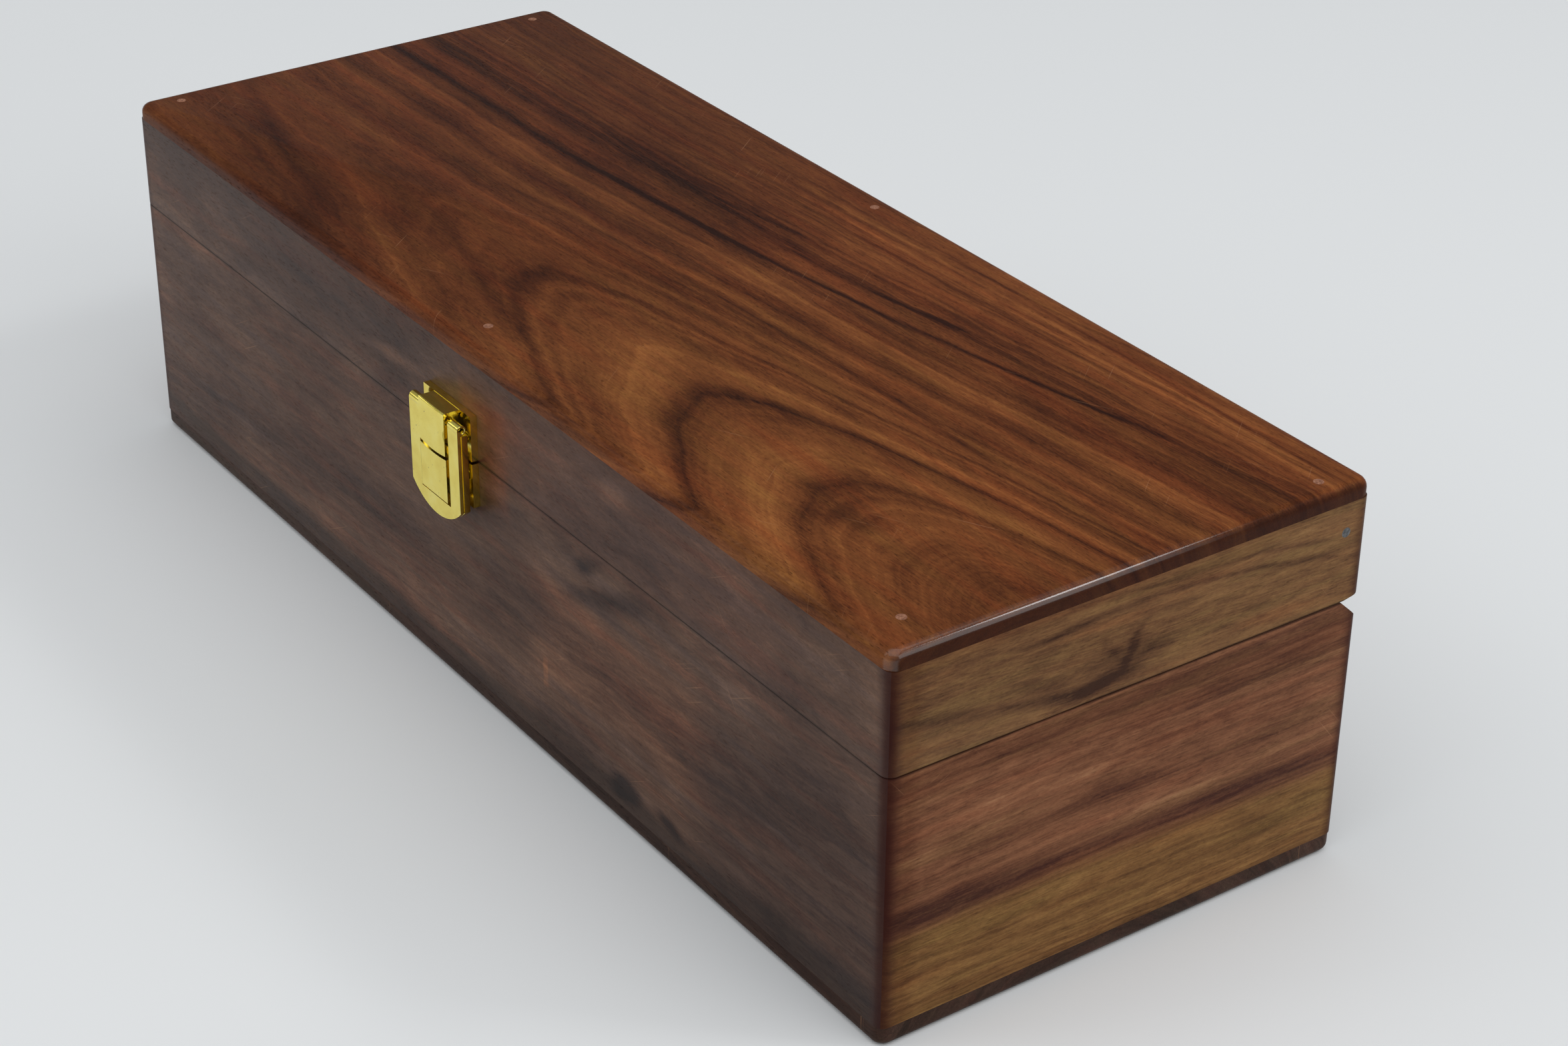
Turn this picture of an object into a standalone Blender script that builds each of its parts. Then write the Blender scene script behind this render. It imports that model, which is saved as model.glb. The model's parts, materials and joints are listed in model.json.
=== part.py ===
"""A long wooden watch box with a hinged lid, a brass catch and six pillows in velvet-lined slots.

The origin is the centre of the bottom face. +X runs along the box, -Y is the front with the catch,
and +Z is up. All sizes are in metres.
"""
import math

import bmesh
import bpy
from mathutils import Matrix, Vector

# Driving dimensions
LENGTH = 0.305
DEPTH = 0.116
HEIGHT = 0.0875
SEAM_Z = 0.061
WALL = 0.011
TOP_BOARD = 0.0040
BOTTOM_BOARD = 0.0045
CORNER_R = 0.0018
TOP_RIM_R = 0.0026
BOTTOM_RIM_R = 0.0020
GAP = 0.0003
SLOTS = 6

# Heights of the boards
FRONT_Y = -DEPTH / 2
BACK_Y = DEPTH / 2
BOX_TOP_Z = SEAM_Z - GAP / 2
LID_LOW_Z = SEAM_Z + GAP / 2
LID_WALL_TOP_Z = HEIGHT - TOP_BOARD - GAP
INNER_X = LENGTH / 2 - WALL
INNER_Y = DEPTH / 2 - WALL

# Groove along the back of the seam
GROOVE_DEPTH = 0.0053
BOX_CHAMFER_DROP = 0.0051
LID_RELIEF_RISE = 0.0009

# Velvet lining, dividers and pillows
LINING = 0.0015
LINING_TOP_Z = 0.0592
LID_PAD = 0.0035
LID_PAD_EDGE = 0.001
DIVIDER = 0.0025
DIVIDER_TOP_Z = 0.052
DIVIDER_EDGE = 0.0007
PILLOW_WIDTH = 0.0428
PILLOW_DEPTH = 0.076
PILLOW_HEIGHT = 0.042
PILLOW_EDGE = 0.004
PILLOW_SEGMENTS = 20
FLOOR_Z = BOTTOM_BOARD + GAP + LINING

# Hinges at the back
HINGE_Y = 0.0556
HINGE_X = 0.095
HINGE_LENGTH = 0.024
LEAF = 0.0012
LEAF_FRONT_Y = 0.0473
LEAF_BACK_Y = 0.0536
BARREL_R = 0.0017
HINGE_PIN_R = 0.0006
HINGE_SCREW_Y = 0.0504
HINGE_SCREW_X = 0.0075
HINGE_SCREW_HEAD_R = 0.0012
HINGE_SCREW_HEAD = 0.0007
HINGE_SCREW_R = 0.0006
HINGE_SCREW_LENGTH = 0.007
MORTISE_FRONT_Y = 0.040

# Catch at the front; depths are measured forward from the front walls, and an outline is (depth, z)
CATCH_X = -0.0014
PLATE_HALF = 0.0098
PLATE_FRONT = 0.0016
PLATE_FACE = 0.0012
LID_PLATE_Z = (0.0614, 0.0719)
HOOK_PLATE_Z = (0.0502, 0.0606)
HOOK_HALF = 0.0030
HOOK = ((PLATE_FACE, 0.0596), (PLATE_FACE, 0.0587), (0.00275, 0.0587), (0.00275, 0.0582),
        (0.0033, 0.0582), (0.0033, 0.0591), (0.0029, 0.0596))
BRACKET_HALF = 0.0053
BRACKET_FRONT = 0.0055
BRACKET_SHEET = 0.0005
BRACKET_ROOF = 0.0007
BRACKET_BEND = 0.0003
EAR_SHEET = 0.0006
EAR_BACK = 0.0019
EAR_LOW_Z = 0.0649
EAR_TOP_Z = 0.0690
EAR_ROUND = 0.0010
TONGUE_LOW_Z = 0.0613
PIN_Z = 0.0695
PIN_DEPTH = 0.0039
PIN_R = 0.00045
PIN_HOLE_R = 0.00075
KNUCKLE_R = 0.00115
LEVER_HALF = 0.0102
LEVER_FRONT = PIN_DEPTH + KNUCKLE_R
LEVER_BACK = 0.0026
LEVER_SHEET = 0.0008
LEVER_SIDE_LOW_Z = 0.0499
LEVER_TIP_Z = 0.0455
WINDOW_HALF = 0.0061
WINDOW_LOW_Z = 0.0500
PANEL_HALF = 0.0051
PANEL_FRONT = 0.00545
PANEL_BACK = 0.0033
PANEL_Z = (0.0503, 0.0608)
BAR_HALF = 0.0091
BAR_DEPTHS = (0.0034, 0.0039)
BAR_Z = (0.0515, 0.0553)
NIB_HALF = 0.0026
NIB = ((0.0040, 0.0570), (0.0019, 0.0570), (0.0019, 0.0584), (0.00245, 0.0584), (0.00245, 0.0578),
       (0.0040, 0.0578))
CATCH_SCREW_X = 0.0071
CATCH_SCREW_Z = {"lid": 0.0663, "box": 0.0572}
CATCH_SCREW_HEAD_R = 0.0016
CATCH_SCREW_HEAD = 0.0006
CATCH_SCREW_R = 0.0008
CATCH_SCREW_LENGTH = 0.0065

# Nails in the lid: place, and the radius of each head
NAIL_R = 0.0006
NAIL_HEAD_R = 0.0013
NAIL_HEAD = 0.0012
NAIL_LENGTH = 0.018
TOP_NAILS = {
    "front_left": (-0.1470, -0.0489),
    "front_middle": (0.0008, -0.0500),
    "front_right": (0.1428, -0.0485),
    "back_left": (-0.1470, 0.0500),
    "back_middle": (-0.0030, 0.0532),
    "back_right": (0.1478, 0.0478),
}
END_NAIL_Y = 0.0520
END_NAIL_Z = 0.0770
END_NAIL_LENGTH = 0.0150

# Facets of round pieces, the overlap of joined solids, and the reach of a cutter past a face
SEGMENTS = 12
LAP = 0.0001
REACH = 0.004

# Local x, y, z of an outline become world y, z, x (side) or x, z, -y (front)
SIDE_VIEW = Matrix(((0, 0, 1, 0), (1, 0, 0, 0), (0, 1, 0, 0), (0, 0, 0, 1)))
FRONT_VIEW = Matrix(((1, 0, 0, 0), (0, 0, -1, 0), (0, 1, 0, 0), (0, 0, 0, 1)))

for old in list(bpy.data.objects):
    bpy.data.objects.remove(old, do_unlink=True)

PARTS = bpy.data.collections.new("watch_box")
CUTTERS = bpy.data.collections.new("cutters")
bpy.context.scene.collection.children.link(PARTS)
bpy.context.scene.collection.children.link(CUTTERS)


def material(name, colour, roughness, metallic=0.0):
    """A Principled material in one colour."""
    made = bpy.data.materials.new(name)
    made.use_nodes = True
    shader = made.node_tree.nodes["Principled BSDF"]
    shader.inputs["Base Color"].default_value = (*colour, 1.0)
    shader.inputs["Roughness"].default_value = roughness
    shader.inputs["Metallic"].default_value = metallic
    return made


ROSEWOOD = material("rosewood", (0.16, 0.055, 0.022), 0.38)
BRASS = material("brass", (0.85, 0.66, 0.20), 0.22, 1.0)
STEEL = material("steel", (0.55, 0.55, 0.54), 0.40, 1.0)
FILLER = material("filler", (0.48, 0.24, 0.14), 0.60)
VELVET = material("velvet", (0.035, 0.012, 0.010), 0.90)
SUEDE = material("suede", (0.42, 0.31, 0.20), 0.85)


def finish(bm, name, look, collection=None):
    """Turn a bmesh into an object in the parts, or in the cutters when it has no look."""
    mesh = bpy.data.meshes.new(name)
    bmesh.ops.recalc_face_normals(bm, faces=bm.faces)
    bm.to_mesh(mesh)
    bm.free()
    made = bpy.data.objects.new(name, mesh)
    (PARTS if look else CUTTERS).objects.link(made)
    if look:
        mesh.materials.append(look)
    else:
        made.hide_render = True
        made.display_type = "WIRE"
    return made


def block(name, low, high, look=None):
    """A box between two corners, with its origin at its centre."""
    low, high = Vector(low), Vector(high)
    bm = bmesh.new()
    bmesh.ops.create_cube(bm, size=1.0)
    bmesh.ops.scale(bm, vec=high - low, verts=bm.verts)
    made = finish(bm, name, look)
    made.location = (low + high) / 2
    return made


def rod(name, start, end, radius, look=None, end_radius=None, segments=SEGMENTS):
    """A cylinder, or a cone where end_radius is given, from start to end."""
    start, end = Vector(start), Vector(end)
    along = end - start
    bm = bmesh.new()
    tip = radius if end_radius is None else end_radius
    bmesh.ops.create_cone(bm, cap_ends=True, segments=segments, radius1=radius, radius2=tip,
                          depth=along.length)
    bmesh.ops.rotate(bm, verts=bm.verts, matrix=Vector((0, 0, 1)).rotation_difference(along).to_matrix())
    made = finish(bm, name, look)
    made.location = (start + end) / 2
    made.data.shade_smooth()
    made.data.set_sharp_from_angle(angle=math.radians(40))
    return made


def outline(name, points, view, low, high, look=None):
    """A flat outline extruded along the view's local z, from low to high."""
    curve = bpy.data.curves.new(name, "CURVE")
    curve.dimensions = "2D"
    curve.fill_mode = "BOTH"
    curve.extrude = (high - low) / 2
    spline = curve.splines.new("POLY")
    spline.points.add(len(points) - 1)
    for point, (across, up) in zip(spline.points, points):
        point.co = (across, up, 0.0, 1.0)
    spline.use_cyclic_u = True
    flat = bpy.data.objects.new(name + "_curve", curve)
    PARTS.objects.link(flat)
    bpy.context.view_layer.update()
    mesh = bpy.data.meshes.new_from_object(flat.evaluated_get(bpy.context.evaluated_depsgraph_get()))
    bpy.data.objects.remove(flat, do_unlink=True)
    bm = bmesh.new()
    bm.from_mesh(mesh)
    bmesh.ops.remove_doubles(bm, verts=bm.verts, dist=1e-6)
    shift = Matrix.Translation((0.0, 0.0, (high + low) / 2))
    bmesh.ops.transform(bm, matrix=view @ shift, verts=bm.verts)
    return finish(bm, name, look)


def arc(centre, radius, first, last, steps):
    """Points on an arc between two angles in degrees."""
    x, y = centre
    angles = [math.radians(first + (last - first) * step / steps) for step in range(steps + 1)]
    return [(x + radius * math.cos(angle), y + radius * math.sin(angle)) for angle in angles]


def combine(target, other, operation):
    modifier = target.modifiers.new(other.name, "BOOLEAN")
    modifier.operation = operation
    modifier.object = other
    modifier.solver = "EXACT"


def cut(cutter, *targets):
    for target in targets:
        combine(target, cutter, "DIFFERENCE")


def join(target, *others):
    for other in others:
        combine(target, other, "UNION")


def bevel(target, width, segments=2):
    modifier = target.modifiers.new("rounded edges", "BEVEL")
    modifier.width = width
    modifier.segments = segments
    modifier.limit_method = "ANGLE"


def round_board(made, upwards, width, segments=3):
    """Round a board's upper or lower rim, and its upright corners a little more."""
    bm = bmesh.new()
    bm.from_mesh(made.data)
    upright = [edge for edge in bm.edges if abs(edge.verts[0].co.z - edge.verts[1].co.z) > 1e-6]
    bmesh.ops.bevel(bm, geom=upright, offset=width + GAP, segments=segments, profile=0.5, affect="EDGES")
    level = max(vert.co.z for vert in bm.verts) if upwards else min(vert.co.z for vert in bm.verts)
    rim = [edge for edge in bm.edges if all(abs(vert.co.z - level) < 1e-6 for vert in edge.verts)]
    bmesh.ops.bevel(bm, geom=rim, offset=width, segments=segments, profile=0.5, affect="EDGES")
    bm.to_mesh(made.data)
    bm.free()


# ---------------------------------------------------------------- wooden boards
def mitred_wall(name, half_run, half_across, turn, low_z, high_z):
    """One wall of a mitred frame: made along the front, then turned about the upright axis."""
    slip = GAP / math.sqrt(2)
    centre_x, centre_y = half_run - CORNER_R, -half_across + CORNER_R
    left = arc((-centre_x, centre_y), CORNER_R, 225, 270, 3)
    right = arc((centre_x, centre_y), CORNER_R, 270, 315, 3)
    points = [(x + slip, y) for x, y in left] + [(x - slip, y) for x, y in right]
    inner_x, inner_y = half_run - WALL - slip, -half_across + WALL
    points += [(inner_x, inner_y), (-inner_x, inner_y)]
    return outline(name, points, Matrix.Rotation(math.radians(turn), 4, "Z"), low_z, high_z, ROSEWOOD)


def wall_frame(prefix, low_z, high_z):
    half_x, half_y = LENGTH / 2, DEPTH / 2
    places = {"front": (half_x, half_y, 0), "right": (half_y, half_x, 90),
              "back": (half_x, half_y, 180), "left": (half_y, half_x, -90)}
    return {side: mitred_wall(f"{prefix}_{side}_wall", run, across, turn, low_z, high_z)
            for side, (run, across, turn) in places.items()}


def full_board(name, low_z, high_z):
    return block(name, (-LENGTH / 2, FRONT_Y, low_z), (LENGTH / 2, BACK_Y, high_z), ROSEWOOD)


box_walls = wall_frame("box", BOTTOM_BOARD + GAP, BOX_TOP_Z)
lid_walls = wall_frame("lid", LID_LOW_Z, LID_WALL_TOP_Z)
bottom_board = full_board("bottom_board", 0.0, BOTTOM_BOARD)
round_board(bottom_board, False, BOTTOM_RIM_R)
top_board = full_board("top_board", HEIGHT - TOP_BOARD, HEIGHT)
round_board(top_board, True, TOP_RIM_R)

# The groove: a chamfer along the back of the box and a slight relief along the back of the lid
GROOVE_Y = BACK_Y - GROOVE_DEPTH
run_on = 1 + REACH / GROOVE_DEPTH
chamfer_points = [(GROOVE_Y, BOX_TOP_Z), (BACK_Y + REACH, BOX_TOP_Z - BOX_CHAMFER_DROP * run_on),
                  (BACK_Y + REACH, BOX_TOP_Z + REACH), (GROOVE_Y, BOX_TOP_Z + REACH)]
relief_points = [(GROOVE_Y, LID_LOW_Z - REACH), (BACK_Y + REACH, LID_LOW_Z - REACH),
                 (BACK_Y + REACH, LID_LOW_Z + LID_RELIEF_RISE * run_on), (GROOVE_Y, LID_LOW_Z)]
chamfer = outline("chamfer_cut", chamfer_points, SIDE_VIEW, -LENGTH, LENGTH)
relief = outline("relief_cut", relief_points, SIDE_VIEW, -LENGTH, LENGTH)
for side in ("back", "left", "right"):
    cut(chamfer, box_walls[side])
    cut(relief, lid_walls[side])


# ---------------------------------------------------------------- nails
def nail(name, head_face, inwards, length, look, *boards):
    """A nail with its head flush in the first board, and its clear hole through all of them."""
    face, inwards = Vector(head_face), Vector(inwards)
    sunk = face + inwards * LAP
    neck = face + inwards * NAIL_HEAD
    tip = face + inwards * length
    made = rod(name, sunk, neck, NAIL_HEAD_R, look)
    shank = rod(name + "_shank", neck - inwards * LAP, tip, NAIL_R)
    join(made, shank)
    head_hole = rod(name + "_head_hole", face - inwards * REACH, neck + inwards * GAP, NAIL_HEAD_R + GAP)
    shank_hole = rod(name + "_hole", face, tip + inwards * GAP, NAIL_R + GAP)
    cut(head_hole, boards[0])
    cut(shank_hole, *boards)
    return made


lid_pieces = []
for place, (nail_x, nail_y) in TOP_NAILS.items():
    walls = [lid_walls[side] for side in place.split("_") if side in lid_walls]
    lid_pieces.append(nail(f"top_nail_{place}", (nail_x, nail_y, HEIGHT), (0, 0, -1), NAIL_LENGTH, FILLER,
                           top_board, *walls))
lid_pieces.append(nail("end_nail_right", (LENGTH / 2, END_NAIL_Y, END_NAIL_Z), (-1, 0, 0), END_NAIL_LENGTH,
                       STEEL, lid_walls["right"], lid_walls["back"]))

# ---------------------------------------------------------------- lining, dividers, pillows
lining_x, lining_y = INNER_X - GAP, INNER_Y - GAP
clear_x, clear_y = lining_x - LINING - GAP, lining_y - LINING - GAP
wall_low = FLOOR_Z + GAP
block("floor_lining", (-lining_x, -lining_y, BOTTOM_BOARD + GAP), (lining_x, lining_y, FLOOR_Z), VELVET)
for side, sign in (("front", -1), ("back", 1)):
    low, high = sorted((sign * lining_y, sign * (lining_y - LINING)))
    block(f"{side}_lining", (-lining_x, low, wall_low), (lining_x, high, LINING_TOP_Z), VELVET)
for side, sign in (("left", -1), ("right", 1)):
    low, high = sorted((sign * lining_x, sign * (lining_x - LINING)))
    block(f"{side}_lining", (low, -clear_y, wall_low), (high, clear_y, LINING_TOP_Z), VELVET)
lid_pad = block("lid_lining", (-lining_x, -lining_y, LID_WALL_TOP_Z - LID_PAD),
                (lining_x, lining_y, LID_WALL_TOP_Z), VELVET)
bevel(lid_pad, LID_PAD_EDGE, 1)

slot_width = (2 * (clear_x + GAP) - (SLOTS - 1) * DIVIDER) / SLOTS
slot_pitch = slot_width + DIVIDER
for number in range(1, SLOTS):
    middle = (number - SLOTS / 2) * slot_pitch
    divider = block(f"divider_{number}", (middle - DIVIDER / 2, -clear_y, wall_low),
                    (middle + DIVIDER / 2, clear_y, DIVIDER_TOP_Z), VELVET)
    bevel(divider, DIVIDER_EDGE, 1)

pillows = []
for number in range(SLOTS):
    middle = (number - (SLOTS - 1) / 2) * slot_pitch
    bm = bmesh.new()
    bmesh.ops.create_cone(bm, cap_ends=True, segments=PILLOW_SEGMENTS, radius1=0.5, radius2=0.5,
                          depth=PILLOW_WIDTH)
    bmesh.ops.rotate(bm, verts=bm.verts, matrix=Matrix.Rotation(math.radians(90), 3, "Y"))
    bmesh.ops.scale(bm, vec=(1.0, PILLOW_DEPTH, PILLOW_HEIGHT), verts=bm.verts)
    pillow = finish(bm, f"watch_pillow_{number + 1}", SUEDE)
    pillow.location = (middle, 0.0, FLOOR_Z + GAP + PILLOW_HEIGHT / 2)
    bevel(pillow, PILLOW_EDGE)
    pillow.data.shade_smooth()
    pillow.data.set_sharp_from_angle(angle=math.radians(40))
    pillows.append(pillow)


# ---------------------------------------------------------------- screws
def sunk_screw(name, seat, inwards):
    """A countersunk wood screw, its flat head just under the seat."""
    top = seat + inwards * LAP / 2
    base = top + inwards * HINGE_SCREW_HEAD
    head = rod(name, top, base, HINGE_SCREW_HEAD_R, BRASS, HINGE_SCREW_R)
    tip = seat + inwards * HINGE_SCREW_LENGTH
    join(head, rod(name + "_tail", base - inwards * LAP, tip, HINGE_SCREW_R))
    return head


def dome_screw(name, seat, inwards):
    """A wood screw with its raised head on the seat."""
    base = seat - inwards * GAP
    top = base - inwards * CATCH_SCREW_HEAD
    head = rod(name, base, top, CATCH_SCREW_HEAD_R, BRASS, CATCH_SCREW_HEAD_R * 0.6)
    tip = seat + inwards * CATCH_SCREW_LENGTH
    join(head, rod(name + "_tail", base - inwards * LAP, tip, CATCH_SCREW_R))
    return head


def screw_hole(name, seat, inwards, radius, length, *targets):
    cut(rod(name, seat - inwards * REACH / 2, seat + inwards * (length + GAP), radius + GAP), *targets)


# ---------------------------------------------------------------- hinges
BARREL_CLEAR = BARREL_R + GAP


def hinge_leaf(name, centre_x, lid_side):
    """One leaf of a butt hinge: a flat plate let into its wall, with its knuckles on the pin."""
    third = HINGE_LENGTH / 3
    if lid_side:
        low_z, high_z = LID_LOW_Z, LID_LOW_Z + LEAF
        spans = [(-third / 2 + GAP / 2, third / 2 - GAP / 2)]
    else:
        low_z, high_z = BOX_TOP_Z - LEAF, BOX_TOP_Z
        spans = [(-HINGE_LENGTH / 2, -third / 2 - GAP / 2), (third / 2 + GAP / 2, HINGE_LENGTH / 2)]
    leaf = block(name, (centre_x - HINGE_LENGTH / 2, LEAF_FRONT_Y, low_z),
                 (centre_x + HINGE_LENGTH / 2, LEAF_BACK_Y - GAP, high_z), BRASS)
    for index, (first, last) in enumerate(spans):
        neck = block(f"{name}_neck_{index}", (centre_x + first, LEAF_BACK_Y - LEAF, low_z + LAP),
                     (centre_x + last, HINGE_Y - HINGE_PIN_R - GAP - LAP, high_z - LAP))
        barrel = rod(f"{name}_barrel_{index}", (centre_x + first, HINGE_Y, SEAM_Z),
                     (centre_x + last, HINGE_Y, SEAM_Z), BARREL_R)
        join(leaf, neck, barrel)
    bore = rod(name + "_bore", (centre_x - HINGE_LENGTH, HINGE_Y, SEAM_Z),
               (centre_x + HINGE_LENGTH, HINGE_Y, SEAM_Z), HINGE_PIN_R + GAP)
    cut(bore, leaf)
    return leaf


for side, sign in (("left", -1), ("right", 1)):
    centre_x = sign * HINGE_X
    half = HINGE_LENGTH / 2 + GAP
    box_leaf = hinge_leaf(f"{side}_hinge_box_leaf", centre_x, False)
    lid_leaf = hinge_leaf(f"{side}_hinge_lid_leaf", centre_x, True)
    rod(f"{side}_hinge_pin", (centre_x - HINGE_LENGTH / 2, HINGE_Y, SEAM_Z),
        (centre_x + HINGE_LENGTH / 2, HINGE_Y, SEAM_Z), HINGE_PIN_R, BRASS)
    lid_pieces.append(lid_leaf)
    cut(block(f"{side}_box_mortise", (centre_x - half, MORTISE_FRONT_Y, BOX_TOP_Z - LEAF - GAP),
              (centre_x + half, BACK_Y + REACH, SEAM_Z + REACH)), box_walls["back"])
    cut(block(f"{side}_lid_mortise", (centre_x - half, MORTISE_FRONT_Y, SEAM_Z - REACH),
              (centre_x + half, LEAF_BACK_Y + GAP, LID_LOW_Z + LEAF + GAP)), lid_walls["back"])
    cut(block(f"{side}_barrel_mortise", (centre_x - half, HINGE_Y - BARREL_CLEAR, SEAM_Z - REACH),
              (centre_x + half, BACK_Y + REACH, SEAM_Z + BARREL_CLEAR)), lid_walls["back"])
    for end, step in (("a", -1), ("b", 1)):
        screw_x = centre_x + step * HINGE_SCREW_X
        for leaf, wall, level, way, owner in ((box_leaf, box_walls["back"], BOX_TOP_Z, -1, "box"),
                                              (lid_leaf, lid_walls["back"], LID_LOW_Z, 1, "lid")):
            seat, inwards = Vector((screw_x, HINGE_SCREW_Y, level)), Vector((0, 0, way))
            name = f"{side}_hinge_{owner}_screw_{end}"
            made = sunk_screw(name, seat, inwards)
            sink = rod(name + "_sink", seat - inwards * GAP, seat + inwards * (HINGE_SCREW_HEAD + GAP),
                       HINGE_SCREW_HEAD_R + 2 * GAP, None, HINGE_SCREW_R + GAP / 3)
            sink.rotation_euler.z = math.radians(180 / SEGMENTS)
            cut(sink, leaf)
            screw_hole(name + "_hole", seat, inwards, HINGE_SCREW_R, HINGE_SCREW_LENGTH, leaf, wall)
            if owner == "lid":
                lid_pieces.append(made)


# ---------------------------------------------------------------- catch
def catch_block(name, half, depths, heights, look=None):
    """A block centred on the catch, between two depths in front of the wall."""
    return block(name, (CATCH_X - half, FRONT_Y - depths[1], heights[0]),
                 (CATCH_X + half, FRONT_Y - depths[0], heights[1]), look)


def catch_side(name, points, low_x, high_x, look=None):
    """An outline in depth and height, extruded across the catch."""
    turned = [(FRONT_Y - depth, height) for depth, height in points]
    return outline(name, turned, SIDE_VIEW, CATCH_X + low_x, CATCH_X + high_x, look)


def catch_rod(name, low_x, high_x, radius, look=None):
    """A round piece on the catch's pin axis."""
    start = (CATCH_X + low_x, FRONT_Y - PIN_DEPTH, PIN_Z)
    end = (CATCH_X + high_x, FRONT_Y - PIN_DEPTH, PIN_Z)
    return rod(name, start, end, radius, look)


hook_plate = catch_block("catch_hook_plate", PLATE_HALF, (GAP, PLATE_FRONT), HOOK_PLATE_Z, BRASS)
join(hook_plate, catch_side("catch_hook", HOOK, -HOOK_HALF, HOOK_HALF))

lid_plate = catch_block("catch_lid_plate", PLATE_HALF, (GAP, PLATE_FRONT), LID_PLATE_Z, BRASS)
BRACKET_TOP_Z = LID_PLATE_Z[1] - LAP
roof_low_z = BRACKET_TOP_Z - BRACKET_ROOF
tongue_back = BRACKET_FRONT - BRACKET_SHEET
bracket_strip = [(PLATE_FACE, BRACKET_TOP_Z), (PLATE_FACE, roof_low_z), (tongue_back, roof_low_z),
                 (tongue_back, TONGUE_LOW_Z), (BRACKET_FRONT, TONGUE_LOW_Z),
                 (BRACKET_FRONT, BRACKET_TOP_Z - BRACKET_BEND),
                 (BRACKET_FRONT - BRACKET_BEND, BRACKET_TOP_Z)]
join(lid_plate, catch_side("catch_bracket", bracket_strip, -BRACKET_HALF, BRACKET_HALF))
ear_front, ear_high_z = BRACKET_FRONT - 2 * LAP, BRACKET_TOP_Z - 2 * LAP
ear_points = [(ear_front, ear_high_z), (ear_front, EAR_LOW_Z)]
ear_points += arc((EAR_BACK + EAR_ROUND, EAR_LOW_Z + EAR_ROUND), EAR_ROUND, 270, 180, 3)
ear_points += [(EAR_BACK, EAR_TOP_Z), (EAR_BACK + EAR_ROUND, ear_high_z)]
for side, low_x in (("left", -BRACKET_HALF + LAP / 2), ("right", BRACKET_HALF - EAR_SHEET - LAP / 2)):
    join(lid_plate, catch_side(f"catch_ear_{side}", ear_points, low_x, low_x + EAR_SHEET))
cut(catch_rod("ear_bore", -PLATE_HALF, PLATE_HALF, PIN_HOLE_R), lid_plate)

pin_half = LEVER_HALF - KNUCKLE_R
lever_pin = catch_rod("lever_pin", -pin_half, pin_half, PIN_R, BRASS)


def lever_outline(inset, top_z):
    """The lever's front: straight sides and a shallow round bottom, drawn inset from its edge."""
    half, drop = LEVER_HALF, LEVER_SIDE_LOW_Z - LEVER_TIP_Z
    radius = (half * half + drop * drop) / (2 * drop)
    centre_z = LEVER_TIP_Z + radius
    swing = math.degrees(math.asin((half - inset) / (radius - inset)))
    bottom = arc((CATCH_X, centre_z), radius - inset, 270 - swing, 270 + swing, 10)
    return [(CATCH_X - half + inset, top_z)] + bottom + [(CATCH_X + half - inset, top_z)]


lever = outline("catch_lever", lever_outline(0.0, PIN_Z), FRONT_VIEW, -FRONT_Y + LEVER_BACK,
                -FRONT_Y + LEVER_FRONT, BRASS)
cut(outline("lever_pocket", lever_outline(LEVER_SHEET, PIN_Z + REACH), FRONT_VIEW, -FRONT_Y,
            -FRONT_Y + LEVER_FRONT - LEVER_SHEET), lever)
cut(catch_block("lever_window", WINDOW_HALF, (0.0, 2 * LEVER_FRONT), (WINDOW_LOW_Z, PIN_Z + REACH)), lever)
knuckle = LEVER_HALF - WINDOW_HALF - LAP
for side, low_x in (("left", -LEVER_HALF + LAP), ("right", WINDOW_HALF)):
    join(lever, catch_rod(f"lever_knuckle_{side}", low_x, low_x + knuckle, KNUCKLE_R))
cut(catch_rod("lever_bore", -2 * LEVER_HALF, 2 * LEVER_HALF, PIN_HOLE_R), lever)

# The panel in the lever's window, with a cross bar behind the legs and a nib under the hook
panel = catch_block("catch_panel", PANEL_HALF, (PANEL_BACK, PANEL_FRONT), PANEL_Z, BRASS)
bar = catch_block("panel_bar", BAR_HALF, BAR_DEPTHS, BAR_Z)
join(panel, bar, catch_side("panel_nib", NIB, -NIB_HALF, NIB_HALF))

for owner, plate, wall in (("lid", lid_plate, lid_walls["front"]), ("box", hook_plate, box_walls["front"])):
    for side, sign in (("left", -1), ("right", 1)):
        seat = Vector((CATCH_X + sign * CATCH_SCREW_X, FRONT_Y - PLATE_FRONT, CATCH_SCREW_Z[owner]))
        inwards = Vector((0, 1, 0))
        name = f"catch_{owner}_screw_{side}"
        made = dome_screw(name, seat, inwards)
        screw_hole(name + "_hole", seat, inwards, CATCH_SCREW_R, CATCH_SCREW_LENGTH, plate, wall)
        if owner == "lid":
            lid_pieces.append(made)


# ---------------------------------------------------------------- joints
def pivot(name, place):
    empty = bpy.data.objects.new(name, None)
    empty.location = place
    empty.empty_display_size = 0.01
    PARTS.objects.link(empty)
    return empty


def attach(pieces, parent):
    """Parent pieces to a pivot and keep their places."""
    for piece in pieces:
        piece.parent = parent
        piece.matrix_parent_inverse = Matrix.Translation(-parent.location)


lid_hinge = pivot("lid_hinge_axis", (0.0, HINGE_Y, SEAM_Z))
lever_hinge = pivot("lever_hinge_axis", (CATCH_X, FRONT_Y - PIN_DEPTH, PIN_Z))
attach([*lid_walls.values(), top_board, lid_pad, lid_plate, lever_pin, *lid_pieces], lid_hinge)
attach([lever, panel], lever_hinge)
lever_hinge.parent = lid_hinge
lever_hinge.matrix_parent_inverse = Matrix.Translation(-lid_hinge.location)
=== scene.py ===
"""The looks of the watch box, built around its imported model. Sizes are in metres unless a name says mm."""
import json
import math
from functools import partialmethod

import bmesh
import bpy
from mathutils import Matrix, Vector, bvhtree, noise


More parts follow.
